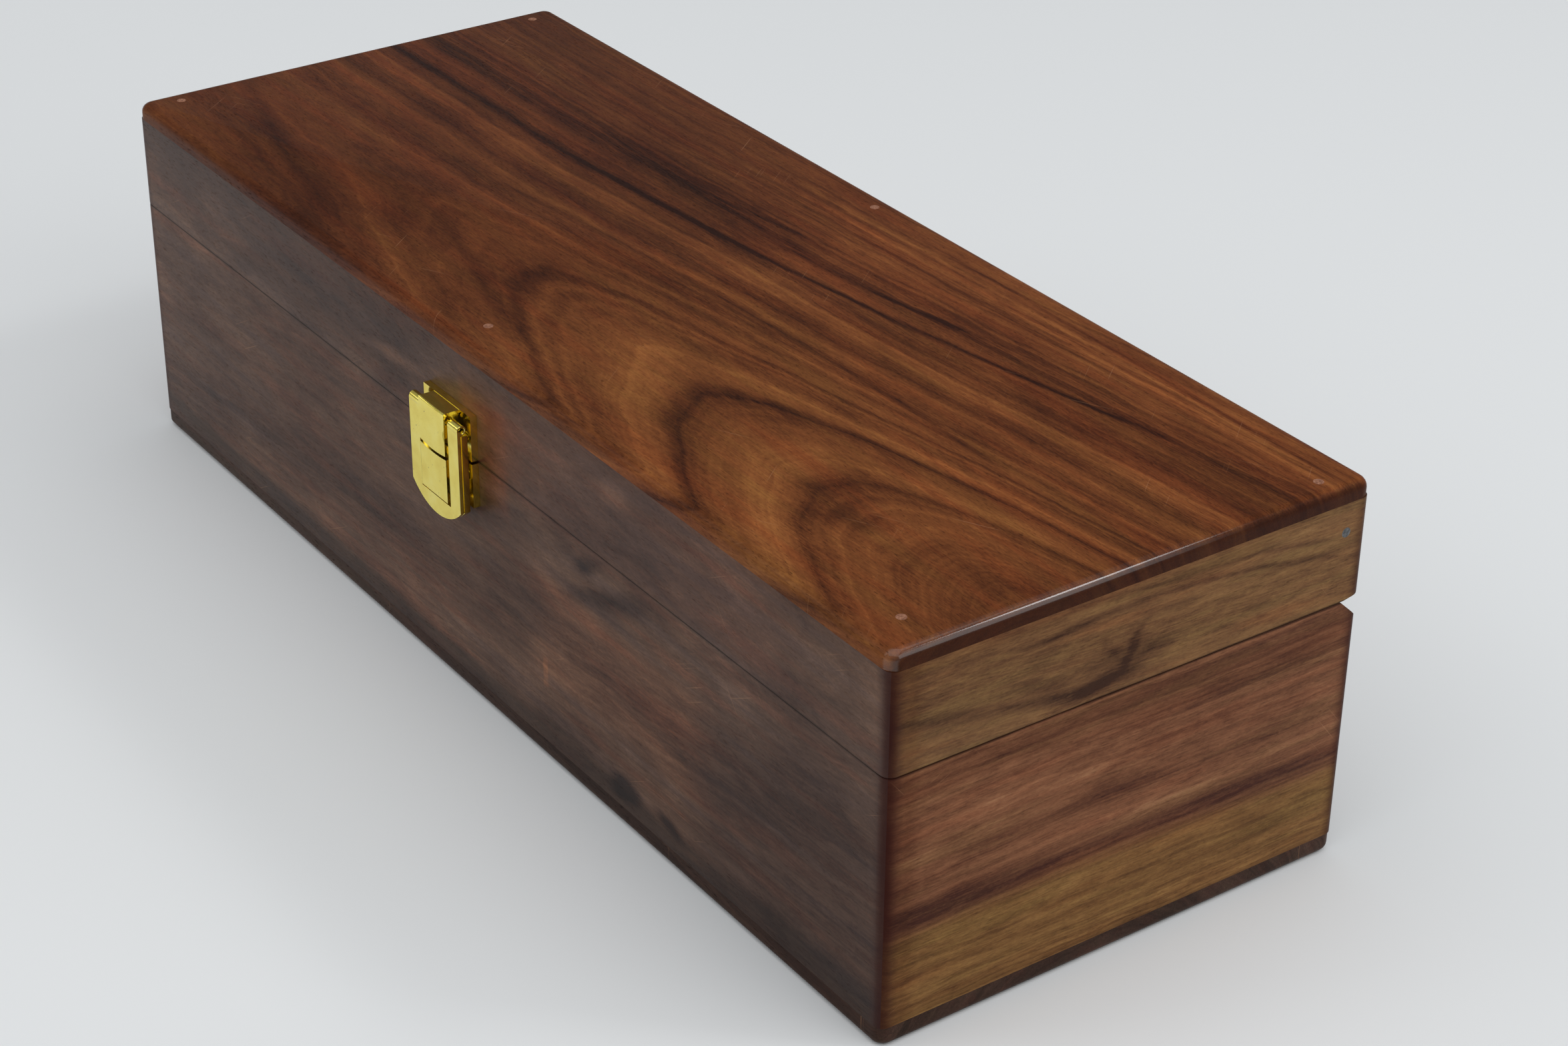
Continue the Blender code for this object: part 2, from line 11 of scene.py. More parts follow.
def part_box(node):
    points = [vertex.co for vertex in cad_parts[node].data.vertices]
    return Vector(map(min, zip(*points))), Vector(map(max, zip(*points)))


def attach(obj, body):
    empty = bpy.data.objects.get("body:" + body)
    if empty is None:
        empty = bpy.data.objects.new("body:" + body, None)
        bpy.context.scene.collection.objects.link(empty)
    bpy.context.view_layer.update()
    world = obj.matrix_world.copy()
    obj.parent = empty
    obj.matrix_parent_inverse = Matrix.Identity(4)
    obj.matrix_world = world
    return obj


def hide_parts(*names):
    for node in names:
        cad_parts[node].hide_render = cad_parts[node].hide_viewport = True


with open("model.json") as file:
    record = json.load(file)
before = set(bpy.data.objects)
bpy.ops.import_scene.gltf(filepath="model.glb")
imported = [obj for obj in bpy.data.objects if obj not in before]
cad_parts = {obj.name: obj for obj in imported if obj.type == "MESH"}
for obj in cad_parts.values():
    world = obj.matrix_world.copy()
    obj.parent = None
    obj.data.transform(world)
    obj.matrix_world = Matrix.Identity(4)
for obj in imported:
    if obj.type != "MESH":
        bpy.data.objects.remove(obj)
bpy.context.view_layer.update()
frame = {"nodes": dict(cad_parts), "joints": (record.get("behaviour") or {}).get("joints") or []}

MM = 0.001

# ---- places, read from the frame
BOTTOM_LOW, BOTTOM_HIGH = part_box("bottom_board")
TOP_LOW, TOP_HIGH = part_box("top_board")
NAIL_RISE = 0.00007
HALF_X, HALF_Y = TOP_HIGH.x - NAIL_RISE, TOP_HIGH.y - NAIL_RISE
HEIGHT = TOP_HIGH.z - NAIL_RISE
TOP_JOINT_Z = TOP_LOW.z
BOTTOM_JOINT_Z = BOTTOM_HIGH.z
SEAM_Z = (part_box("box_front_wall")[1].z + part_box("lid_front_wall")[0].z) / 2
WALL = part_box("box_front_wall")[1].y + HALF_Y


def pivot(name):
    return Vector(next(joint for joint in frame["joints"] if joint["name"] == name)["pos_m"])


HINGE, LEVER_AXIS = pivot("lid_hinge"), pivot("lever_hinge")
CATCH_X = LEVER_AXIS.x
CHAMFER_RISE, CHAMFER_RUN, RELIEF_RISE = 0.0051, 0.0053, 0.0009
GROOVE_Y = HALF_Y - CHAMFER_RUN
CORNER_R = 0.0022
SEAM_GAP = 0.00005
TOP_ROUND, FOOT_ROUND, ROUND_STEPS = 0.0022, 0.0018, 6


# ---- material helper
class Nodes:
    """Builds one material's node tree. Values that are sockets are linked; others are set."""

    def __init__(self, name):
        self.material = bpy.data.materials.new(name)
        self.material.use_nodes = True
        self.tree = self.material.node_tree
        self.shader = self.tree.nodes["Principled BSDF"]

    def put(self, socket, value):
        if isinstance(value, bpy.types.NodeSocket):
            self.tree.links.new(value, socket)
        else:
            socket.default_value = (*value, 1.0) if isinstance(value, tuple) else value

    def node(self, kind, values=(), **settings):
        """Add a node with these settings, and feed its inputs by place, or by name from a dictionary."""
        made = self.tree.nodes.new(f"ShaderNode{kind}")
        for setting, value in settings.items():
            setattr(made, setting, value)
        for key, value in values.items() if isinstance(values, dict) else enumerate(values):
            self.put(made.inputs[key], value)
        return made

    def math(self, operation, *values):
        return self.node("Math", values, operation=operation).outputs[0]

    add = partialmethod(math, "ADD")
    sub = partialmethod(math, "SUBTRACT")
    mul = partialmethod(math, "MULTIPLY")
    div = partialmethod(math, "DIVIDE")
    fma = partialmethod(math, "MULTIPLY_ADD")       # first times second, plus third
    absolute = partialmethod(math, "ABSOLUTE")

    def remap(self, value, low, high, to_low=0.0, to_high=1.0):
        return self.node("MapRange", (value, low, high, to_low, to_high),
                         interpolation_type="SMOOTHSTEP").outputs[0]

    def noise(self, vector, scale, detail=3.0, roughness=0.5, distortion=0.0):
        return self.node("TexNoise", {"Vector": vector, "Scale": scale, "Detail": detail,
                                      "Roughness": roughness, "Distortion": distortion}).outputs[0]

    def uneven(self, *settings):
        """Noise shifted to lie about 0."""
        return self.sub(self.noise(*settings), 0.5)

    def line_noise(self, value, scale, detail, roughness):
        return self.node("TexNoise", {"W": value, "Scale": scale, "Detail": detail, "Roughness": roughness},
                         noise_dimensions="1D").outputs[0]

    def voronoi(self, vector, scale):
        return self.node("TexVoronoi", {"Vector": vector, "Scale": scale}).outputs[0]

    def vector(self, x, y, z):
        return self.node("CombineXYZ", (x, y, z)).outputs[0]

    def split(self, output):
        """The three parts of one output of the texture coordinates."""
        return self.node("SeparateXYZ", (self.node("TexCoord").outputs[output],)).outputs

    def position(self):
        """Object coordinates in millimetres."""
        return [self.mul(axis, 1 / MM) for axis in self.split("Object")]

    def place(self):
        return self.vector(*self.position())

    def facing(self):
        """The size of each part of the surface normal."""
        return [self.absolute(axis) for axis in self.split("Normal")]

    def ramp(self, value, stops):
        """A colour ramp. Its stops hold colours, or plain numbers for grey."""
        made = self.node("ValToRGB", (value,))
        points = made.color_ramp.elements
        while len(points) < len(stops):
            points.new(1.0)
        for point, (place, _) in zip(points, stops):
            point.position = place
        for point, (_, colour) in zip(points, stops):
            point.color = (*(colour if isinstance(colour, tuple) else (colour,) * 3), 1.0)
        return made.outputs[0]

    def mix(self, factor, first, second, blend="MIX"):
        return self.node("Mix", {0: factor, 6: first, 7: second}, data_type="RGBA",
                         blend_type=blend).outputs[2]

    def bump(self, height, strength, distance):
        made = self.node("Bump", {"Height": height, "Strength": strength, "Distance": distance})
        self.put(self.shader.inputs["Normal"], made.outputs[0])

    def set(self, **values):
        for name, value in values.items():
            self.put(self.shader.inputs[name.replace("_", " ")], value)


def srgb(red, green, blue):
    """A linear colour from 0-255 display values."""
    return tuple((value / 255 / 12.92) if value <= 10 else ((value / 255 + 0.055) / 1.055) ** 2.4
                 for value in (red, green, blue))


# ---- rosewood
END_FACE, SIDE_FACE, TOP_FACE, SEAM_HEIGHT = 152.5, 58.0, 87.5, 61.0     # mm
DARK, LOW, MID, HIGH = srgb(47, 21, 12), srgb(88, 46, 23), srgb(117, 66, 34), srgb(154, 95, 50)
COAT, ROUGH = 0.02, 0.40
PLAIN_RINGS = [(0, 0.5), (12, 0.42), (20, 0.55), (28, 0.40), (36, 0.58), (44, 0.44), (52, 0.56), (60, 0.40),
               (70, 0.55), (80, 0.42), (90, 0.52), (100, 0.46)]


def rosewood(name, axes, face, pith, tones=(DARK, LOW, MID, HIGH), rings=PLAIN_RINGS, widen=0.0, squeeze=1.0,
             half_run=END_FACE, end_axis=None, seed=0.0, streaks=(0.40, 0.62), marks=(), veins=(), washes=(),
             corner=0.0, porous=0.5, blotches=0.3, patches=0.40, fibres=0.40, seam=None, gap_shade_strength=0.80,
             specular=0.05, warm=(1.06, 0.94, 0.92), cool=(0.96, 1.04, 0.98), glossy_rim=0.0):
    """Sawn rosewood: a board cut through growth rings round a leaning pith. Lengths are in mm.

    axes names the board's along, across and through directions, and face is its outer face. pith gives how
    far across and how deep the pith lies, each as three terms along the board. widen is how the rings widen
    along the board, and squeeze how much they are squeezed on the near side. rings are (radius, tone)
    pairs. marks are (along, across, half length, half width, lean, darkness); veins are (a, b, c, from, to,
    half width, darkness) for a dark line at a + b u + c u^2; washes are (along, across, half length, half
    width, colour, strength) for broad changes of colour. streaks, blotches, patches, fibres and porous say
    how strong each layer of the grain is. seam is the height of a line of painted shade in the gap between
    lid and box, corner darkens both ends of the run, and glossy_rim varnishes the rounded edge. warm and
    cool tint the broad streaks.
    """
    n = Nodes(name)
    places = dict(zip("xyz", n.position()))
    u, v, w = (places[axis] for axis in axes)

    def stretched(along, across):
        return n.vector(n.fma(u, along, seed), n.mul(v, across), n.mul(w, across))

    def polynomial(constant, linear, square):
        return n.fma(n.fma(u, square, linear), u, constant)

    wander = n.uneven(stretched(0.012, 0.032), 1.0, 2.0)
    ripple = n.uneven(stretched(0.045, 0.16), 1.0, 3.0, 0.55)
    patch = n.uneven(stretched(0.022, 0.05), 1.0, 3.0, 0.5)
    fibre = n.uneven(stretched(0.16, 2.4), 1.0, 3.0, 0.6)
    speckle = n.uneven(stretched(0.9, 2.0), 1.0, 3.0, 0.7)

    across, depth = pith
    offset = n.sub(v, polynomial(*across))
    offset = n.math("MAXIMUM", offset, n.mul(offset, -squeeze))
    below = n.add(polynomial(*depth), n.mul(n.sub(w, face), 0.8))
    radius = n.math("SQRT", n.add(n.mul(offset, offset), n.mul(below, below)))
    radius = n.fma(u, -widen, radius)
    radius = n.fma(wander, n.remap(radius, 20.0, 46.0, 2.0, 5.0), radius)
    radius = n.fma(ripple, n.remap(radius, 20.0, 46.0, 0.7, 2.6), radius)

    ring_tone = n.ramp(n.div(radius, 100.0), [(place / 100.0, tone) for place, tone in rings])
    streak = n.sub(n.line_noise(radius, 0.55, 4.0, 0.62), 0.5)
    streak = n.mul(streak, n.remap(radius, 36.0, 56.0, *streaks))
    lines = n.sub(n.line_noise(n.add(radius, 37.0), 2.6, 3.0, 0.6), 0.5)
    tone = n.add(streak, ring_tone)
    tone = n.fma(lines, 0.24, tone)
    tone = n.fma(fibre, fibres, tone)
    tone = n.fma(speckle, 0.32, tone)
    tone = n.fma(patch, patches, tone)

    blotch = n.uneven(stretched(0.11, 0.42), 1.0, 5.0, 0.68, 0.4)
    tone = n.fma(blotch, blotches, tone)

    for along, sideways, long, wide, lean, darkness in marks:
        shift_u = n.sub(n.fma(ripple, 6.0, u), along)
        shift_v = n.sub(n.fma(ripple, 3.0, v), sideways)
        turned_u = n.fma(shift_v, math.sin(lean), n.mul(shift_u, math.cos(lean)))
        turned_v = n.fma(shift_u, -math.sin(lean), n.mul(shift_v, math.cos(lean)))
        turned_u, turned_v = n.div(turned_u, long), n.div(turned_v, wide)
        reach = n.math("SQRT", n.add(n.mul(turned_u, turned_u), n.mul(turned_v, turned_v)))
        tone = n.sub(tone, n.remap(reach, 1.4, 0.1, 0.0, darkness))
    for constant, linear, square, first, last, wide, darkness in veins:
        gap = n.sub(n.fma(ripple, 2.0, v), polynomial(constant, linear, square))
        line = n.remap(n.absolute(gap), n.fma(blotch, 4.0 * wide, 1.5 * wide), 0.0)
        inside = n.mul(n.remap(u, first - 12.0, first + 12.0), n.remap(u, last + 12.0, last - 12.0))
        tone = n.fma(n.mul(line, inside), -darkness, tone)

    dark, low, mid, high = tones
    colour = n.ramp(tone, [(0.08, dark), (0.36, low), (0.60, mid), (0.95, high)])
    for along, sideways, long, wide, wash, strength in washes:
        far_u = n.div(n.sub(u, along), long)
        far_v = n.div(n.sub(n.fma(wander, 14.0, v), sideways), wide)
        reach = n.math("MAXIMUM", n.absolute(far_u), n.absolute(far_v))
        reach = n.fma(fibre, 0.35, reach)
        colour = n.mix(n.remap(reach, 1.25, 0.75, 0.0, strength), colour, wash, "MULTIPLY")

    # broad streaks of redder and yellower heartwood
    hue = n.noise(stretched(0.018, 0.22), 1.0, 4.0, 0.6)
    colour = n.mix(n.remap(hue, 0.50, 0.66), colour, warm, "MULTIPLY")
    colour = n.mix(n.remap(hue, 0.50, 0.34), colour, cool, "MULTIPLY")

    # pores: short dark dashes along the grain
    pore_noise = n.noise(stretched(0.55, 5.5), 1.0, 1.0, 0.5)
    pores = n.remap(n.fma(n.sub(0.6, ring_tone), 0.12, pore_noise), 0.63, 0.72)
    deep = tuple(value * 0.35 for value in dark)
    colour = n.mix(n.mul(pores, porous), colour, deep)

    # fine pale scratches in two directions, where the board has been handled
    handled = n.remap(patch, -0.02, 0.14)
    for turn, scale in ((0.5, 0.9), (-0.9, 1.1)):
        along_cut = n.fma(u, math.cos(turn), n.mul(v, math.sin(turn)))
        across_cut = n.fma(u, -math.sin(turn), n.mul(v, math.cos(turn)))
        cut_at = n.vector(n.mul(along_cut, 0.06 * scale), n.mul(across_cut, 3.4 * scale), seed)
        cut = n.mul(n.remap(n.noise(cut_at, 1.0, 0.0), 0.79, 0.84), handled)
        colour = n.mix(n.mul(cut, 0.24), colour, srgb(190, 140, 104))

    # a line of painted shade along the gap between lid and box, at height seam
    if seam:
        joint = n.remap(n.fma(ripple, 0.7, n.absolute(n.sub(v, seam))), 0.50, 0.10)
        colour = n.mix(n.mul(joint, gap_shade_strength), colour, deep)
    if corner:
        edge = n.remap(n.absolute(u), half_run - 4.5, half_run - 0.5)
        edge = n.mul(n.fma(wander, 0.8, 1.0), edge)
        colour = n.mix(n.mul(edge, corner), colour, srgb(52, 20, 15))
    if end_axis is not None:
        end = n.remap(n.facing()["xyz".index(end_axis)], 0.45, 0.95)
        colour = n.mix(n.mul(end, 0.80), colour, tuple(value * 0.8 for value in dark))
    varnish = COAT
    if glossy_rim:
        turned = n.mul(n.remap(n.facing()[0], 0.08, 0.30), n.remap(v, 30.0, -20.0))
        turned = n.mul(turned, n.remap(n.facing()[0], 0.97, 0.88))
        varnish = n.fma(turned, glossy_rim, COAT)
    n.set(Base_Color=colour, Coat_Weight=varnish, Coat_Roughness=0.12, Specular_IOR_Level=specular)
    n.set(Roughness=n.fma(fibre, 0.16, n.fma(pores, 0.25, ROUGH)))
    n.bump(n.fma(pores, -1.0, n.mul(fibre, 0.35)), 0.35, 0.00006)
    return n.material


# ---- mesh helpers
def add_object(name, data):
    made = bpy.data.objects.new(name, data)
    bpy.context.scene.collection.objects.link(made)
    return made


def make_object(name, bm, look, smooth_angle=35.0):
    mesh = bpy.data.meshes.new(name)
    bmesh.ops.recalc_face_normals(bm, faces=bm.faces)
    bm.to_mesh(mesh)
    bm.free()
    made = add_object(name, mesh)
    mesh.materials.append(look)
    mesh.shade_smooth()
    mesh.set_sharp_from_angle(angle=math.radians(smooth_angle))
    return made


def piece(made, body, slot, *nodes):
    """Parent a finished mesh to the empty of its body, and hide the nodes that it stands for. slot, its
    finish, is not used.
    """
    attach(made, body)
    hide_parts(*nodes)
    return made


def arc(centre, radius, first, last, steps):
    """Points on an arc between two angles in degrees."""
    angles = [math.radians(first + (last - first) * step / steps) for step in range(steps + 1)]
    x, y = centre
    return [(x + radius * math.cos(angle), y + radius * math.sin(angle)) for angle in angles]


def stitch(bm, lower, upper):
    """Join two rings of vertices by a band of faces."""
    count = len(lower)
    for index in range(count):
        after = (index + 1) % count
        bm.faces.new((lower[index], lower[after], upper[after], upper[index]))


def evaluated(made):
    return made.evaluated_get(bpy.context.evaluated_depsgraph_get())


def bridge(bm, loops, closed=True):
    """Skin a list of vertex loops of equal length, and cap both ends."""
    rings = [[bm.verts.new(point) for point in loop] for loop in loops]
    for lower, upper in zip(rings, rings[1:]):
        stitch(bm, lower, upper)
    if closed:
        bm.faces.new(rings[0][::-1])
        bm.faces.new(rings[-1])
    return rings


def skinned(loops):
    bm = bmesh.new()
    bridge(bm, loops)
    return bm


def rounded_rectangle(half_x, half_y, radius, z):
    points = []
    for sign_x, sign_y, first in ((1, -1, 270), (1, 1, 0), (-1, 1, 90), (-1, -1, 180)):
        centre = (sign_x * (half_x - radius), sign_y * (half_y - radius))
        points += arc(centre, radius, first, first + 90, ROUND_STEPS)
    return [(x, y, z) for x, y in points]


def slab(name, low_z, high_z, lower_round, upper_round, look):
    """A board whose upright corners are rounded, and whose lower or upper rim may be."""
    levels = []
    for radius, rim_z, sign in ((lower_round, low_z, 1), (upper_round, high_z, -1)):
        steps = range(ROUND_STEPS + 1)
        turns = [math.radians(90 * step / ROUND_STEPS) for step in steps] if radius else [math.pi / 2]
        part = [(rim_z + sign * radius * (1 - math.sin(turn)), radius * (1 - math.cos(turn)))
                for turn in turns]
        levels += part[::-1] if sign > 0 else part
    loops = [rounded_rectangle(HALF_X - inset, HALF_Y - inset, CORNER_R * 1.25 - inset * 0.8, z)
             for z, inset in levels]
    return make_object(name, skinned(loops), look)


def bevel(bm, edges, width, segments, profile):
    bmesh.ops.bevel(bm, geom=edges, offset=width, segments=segments, profile=profile, affect="EDGES",
                    clamp_overlap=True)


def slice_off(bm, point, normal):
    """Cut away what lies beyond a plane and close the cut."""
    geometry = bm.verts[:] + bm.edges[:] + bm.faces[:]
    cut = bmesh.ops.bisect_plane(bm, geom=geometry, dist=1e-7, plane_co=point, plane_no=normal,
                                 clear_outer=True)
    rim = [edge for edge in cut["geom_cut"] if isinstance(edge, bmesh.types.BMEdge)]
    bmesh.ops.holes_fill(bm, edges=rim)


def wall_board(name, side, low_z, high_z, seam_z, look, groove):
    """One mitred wall with a rounded half corner at each end and softened edges along the seam."""
    half_run, half_across, turn = {"front": (HALF_X, HALF_Y, 0), "right": (HALF_Y, HALF_X, 90),
                                   "back": (HALF_X, HALF_Y, 180), "left": (HALF_Y, HALF_X, -90)}[side]
    centre_x, centre_y = half_run - CORNER_R, -half_across + CORNER_R
    outer = arc((-centre_x, centre_y), CORNER_R, 225, 270, 4)
    outer += arc((centre_x, centre_y), CORNER_R, 270, 315, 4)
    inner = [(half_run - WALL, -half_across + WALL), (-half_run + WALL, -half_across + WALL)]
    bm = skinned([[(x, y, z) for x, y in outer + inner] for z in (low_z, high_z)])
    bmesh.ops.transform(bm, matrix=Matrix.Rotation(math.radians(turn), 4, "Z"), verts=bm.verts)
    if side != "front":
        slice_off(bm, *groove)

    def along_seam(first, second):
        level = abs(first.z - seam_z) < 1e-6 and abs(second.z - seam_z) < 1e-6
        mitre = abs(abs(abs(first.x) - abs(second.x)) - abs(abs(first.y) - abs(second.y))) < 1e-5
        return level and not (mitre and (first - second).length > WALL)

    edges = [edge for edge in bm.edges if along_seam(edge.verts[0].co, edge.verts[1].co)]
    bevel(bm, edges, 0.00022, 2, 0.5)
    return make_object(name, bm, look)


# ---- the wood of each board
TOP_RINGS = [(13, 0.46), (15.5, 0.56), (16.8, 0.38), (17.3, 0.24), (17.8, 0.50), (18.6, 0.66),
             (20.5, 0.54), (22.1, 0.44), (22.6, 0.22), (23.0, 0.42), (23.8, 0.64), (26, 0.54),
             (28.1, 0.44), (28.6, 0.24), (29.1, 0.52), (30.2, 0.60), (31.4, 0.42), (31.8, 0.38),
             (32.6, 0.60), (34.7, 0.38), (38.6, 0.60), (41.8, 0.36), (46.4, 0.66), (50.5, 0.34),
             (54, 0.40), (57, 0.50), (59.5, 0.34), (64, 0.42), (70, 0.58), (80, 0.56), (86, 0.62)]
TOP_VEINS = [(16.8, 0.101, 0.00046, -60, 112, 0.9, 0.42), (30.8, 0.205, 0.00193, -80, 6, 0.9, 0.20),
             (23.9, 0.036, 0.0016, 2, 66, 1.0, 0.24), (-3.0, 0.085, -0.0005, -62, 108, 1.0, 0.18),
             (22.0, 0.01, 0.0, -152, -70, 2.4, 0.18), (11.5, 0.0, 0.0, -152, -60, 1.8, 0.20),
             (-68.2, -0.25, 0.0, -150, -70, 2.8, 0.16), (-45.0, -0.27, 0.0, -56, 2, 2.2, 0.14),
             (47.5, 0.02, 0.0, -20, 140, 0.7, -0.22), (43.8, 0.03, 0.0, 0, 150, 0.6, -0.20),
             (51.5, 0.0, 0.0, 20, 150, 0.6, 0.20), (40.5, 0.04, 0.0, 10, 130, 0.8, 0.20)]
top_wood = rosewood(
    "rosewood_top", "xyz", TOP_FACE, ((-28.2, -0.017, 0.00011), (27.6, -0.0244, -0.00028)), rings=TOP_RINGS,
    widen=0.0545, squeeze=0.56, end_axis="x", seed=3.0, glossy_rim=0.9, blotches=0.46, patches=0.5,
    veins=TOP_VEINS, marks=[(109, -35, 8, 5, 0.5, 0.26)],
    washes=[(-110, 0, 110, 90, (0.74, 0.68, 0.68), 0.9), (70, -30, 80, 40, (1.08, 1.12, 1.10), 1.0),
            (-120, 46, 90, 22, (0.68, 0.66, 0.66), 0.9), (-120, -50, 70, 22, (0.80, 0.76, 0.72), 0.9),
            (60, 44, 100, 20, (0.90, 0.86, 0.86), 0.9)])
GREY_TONES = (srgb(46, 30, 24), srgb(74, 51, 40), srgb(96, 70, 55), srgb(132, 99, 78))
FLAT_PITH = ((70.0, 0.02, 0.0), (44.0, 0.05, 0.0))
front_wood = rosewood(
    "rosewood_front", "xzy", -SIDE_FACE, FLAT_PITH, GREY_TONES, seed=11.0, corner=0.9, porous=0.10,
    streaks=(0.22, 0.3), blotches=0.62, patches=0.85, fibres=0.24, seam=SEAM_HEIGHT, gap_shade_strength=0.55,
    specular=0.13, warm=(1.12, 0.94, 0.88), cool=(0.92, 0.98, 1.12),
    marks=[(64, 9.5, 6, 3, 0.1, 0.6), (81, 10, 5, 2.4, -0.2, 0.5), (51, 56, 7, 2.2, 0.5, 0.4),
           (62, 78, 7, 3, 0.1, -0.3), (-28, 71, 14, 2, 0.1, -0.35), (60, 52, 20, 3, 0.35, 0.35)],
    washes=[(62, 34, 32, 13, (1.42, 1.30, 1.18), 1.0), (125, 30, 34, 34, (0.78, 0.80, 0.86), 1.0),
            (33.5, 22, 0.9, 3.0, (1.55, 1.32, 1.10), 0.7), (0, 3, 190, 7.5, (0.50, 0.52, 0.54), 0.9),
            (-90, 76, 80, 12, (0.62, 0.54, 0.50), 0.9), (60, 74, 60, 12, (0.98, 0.86, 0.84), 0.8),
            # the washes on the next two lines are a painted warm reflection of the brass catch on the wood
            # to its right
            (11, 68, 9, 15, (1.50, 1.04, 0.86), 0.40), (14, 72, 12, 8, (1.40, 1.0, 0.84), 0.35),
            (13, 58, 7, 7, (1.35, 1.0, 0.86), 0.35)])
back_wood = rosewood(
    "rosewood_back", "xzy", SIDE_FACE, ((-20.0, -0.03, 0.0), (40.0, 0.06, 0.0)), GREY_TONES, seed=19.0,
    corner=0.6, blotches=0.5, seam=SEAM_HEIGHT)
GOLD_TONES = (srgb(60, 36, 24), srgb(100, 68, 44), srgb(128, 92, 58), srgb(156, 118, 76))
END_TONES = (srgb(66, 36, 28), srgb(104, 66, 46), srgb(132, 88, 62), srgb(164, 120, 86))
END_LOOK = {"half_run": SIDE_FACE, "corner": 0.9, "seam": SEAM_HEIGHT, "porous": 0.3}
lid_end_wood = rosewood(
    "rosewood_lid_end", "yzx", END_FACE, ((40.0, -0.03, 0.0), (30.0, 0.05, 0.0)), GOLD_TONES, seed=27.0,
    streaks=(0.2, 0.3), blotches=0.75,
    marks=[(-1.5, 69.5, 6.5, 1.5, 1.0, 0.26), (-9, 64.0, 10, 1.8, 0.06, 0.26), (-6, 71, 5, 1.5, -1.0, 0.14),
           (-4, 66, 14, 6, 0.3, 0.20), (-24, 69, 10, 2.0, -0.35, 0.16)],
    veins=[(62.3, -0.13, 0.0006, -58, -8, 1.5, 0.26), (79.0, -0.02, -0.0022, -30, 50, 0.9, 0.25),
           (81.5, -0.02, -0.0016, 0, 50, 0.7, 0.18)],
    washes=[(0, 84, 70, 3, (0.80, 0.74, 0.72), 0.8), (-60, 70, 9, 20, (0.70, 0.60, 0.52), 0.8)], **END_LOOK)
box_end_wood = rosewood(
    "rosewood_box_end", "yzx", END_FACE, ((-60.0, 0.02, 0.0), (30.0, 0.04, 0.0)), END_TONES, seed=31.0,
    streaks=(0.35, 0.55), blotches=0.66, warm=(1.03, 0.96, 0.95), fibres=0.34,
    veins=[(26.5, -0.03, 0.0, -60, 60, 3.2, 0.34), (57.5, 0.02, 0.0, -60, 60, 1.6, 0.08),
           (31.0, -0.02, 0.0, 0, 30, 1.0, -0.30), (38.0, -0.02, 0.0, -40, 10, 1.2, 0.2)],
    marks=[(-36, 46, 14, 2.6, 0.05, -0.22), (-12, 45, 10, 1.8, 0.0, -0.20), (-50, 41, 9, 1.5, 0, -0.2),
           (-5, 40, 9, 2.6, 0.0, 0.16), (30, 52, 24, 2.4, 0.0, 0.10)],
    washes=[(0, 12, 70, 12.0, (1.06, 1.25, 0.86), 1.0), (0, 5, 70, 1.5, (0.7, 0.66, 0.66), 0.8),
            (-60, 30, 9, 60, (0.66, 0.58, 0.54), 0.8), (0, 57, 70, 4, (0.82, 0.78, 0.76), 0.8)], **END_LOOK)
left_lid_wood = rosewood(
    "rosewood_left_lid_end", "yzx", -END_FACE, ((30.0, 0.05, 0.0), (34.0, -0.04, 0.0)), GOLD_TONES,
    seed=53.0, streaks=(0.3, 0.4), blotches=0.75, **END_LOOK)
left_box_wood = rosewood(
    "rosewood_left_box_end", "yzx", -END_FACE, ((-40.0, -0.03, 0.0), (26.0, 0.05, 0.0)), END_TONES,
    seed=61.0, streaks=(0.4, 0.5), blotches=0.66, warm=(1.03, 0.96, 0.95), **END_LOOK)
FOOT_TONES = (srgb(36, 24, 20), srgb(54, 38, 31), srgb(70, 50, 41), srgb(90, 68, 56))
bottom_wood = rosewood(
    "rosewood_bottom", "xyz", 0.0, ((-10.0, 0.02, 0.0), (30.0, 0.05, 0.0)), FOOT_TONES, seed=41.0)


# ---- boards
slab_top = slab("lid_top_board", TOP_JOINT_Z, HEIGHT, 0.0, TOP_ROUND, top_wood)
piece(slab_top, "lid", "rosewood", "top_board")
slab_bottom = slab("box_bottom_board", BOTTOM_LOW.z, BOTTOM_JOINT_Z, FOOT_ROUND, 0.0, bottom_wood)
piece(slab_bottom, "box", "rosewood", "bottom_board")

BOX_CHAMFER = ((0, GROOVE_Y, SEAM_Z), Vector((0, CHAMFER_RISE, CHAMFER_RUN)).normalized())
LID_RELIEF = ((0, GROOVE_Y, SEAM_Z), Vector((0, RELIEF_RISE, -CHAMFER_RUN)).normalized())
WALL_WOODS = {"front": (front_wood, front_wood), "back": (back_wood, back_wood),
              "left": (left_box_wood, left_lid_wood), "right": (box_end_wood, lid_end_wood)}
for side, (box_wood, lid_wood) in WALL_WOODS.items():
    for owner, low_z, high_z, seam_z, wood, groove in (
            ("box", BOTTOM_JOINT_Z, SEAM_Z - SEAM_GAP, SEAM_Z - SEAM_GAP, box_wood, BOX_CHAMFER),
            ("lid", SEAM_Z + SEAM_GAP, TOP_JOINT_Z, SEAM_Z + SEAM_GAP, lid_wood, LID_RELIEF)):
        wall = wall_board(f"{owner}_{side}_board", side, low_z, high_z, seam_z, wood, groove)
        piece(wall, owner, "rosewood", f"{owner}_{side}_wall")


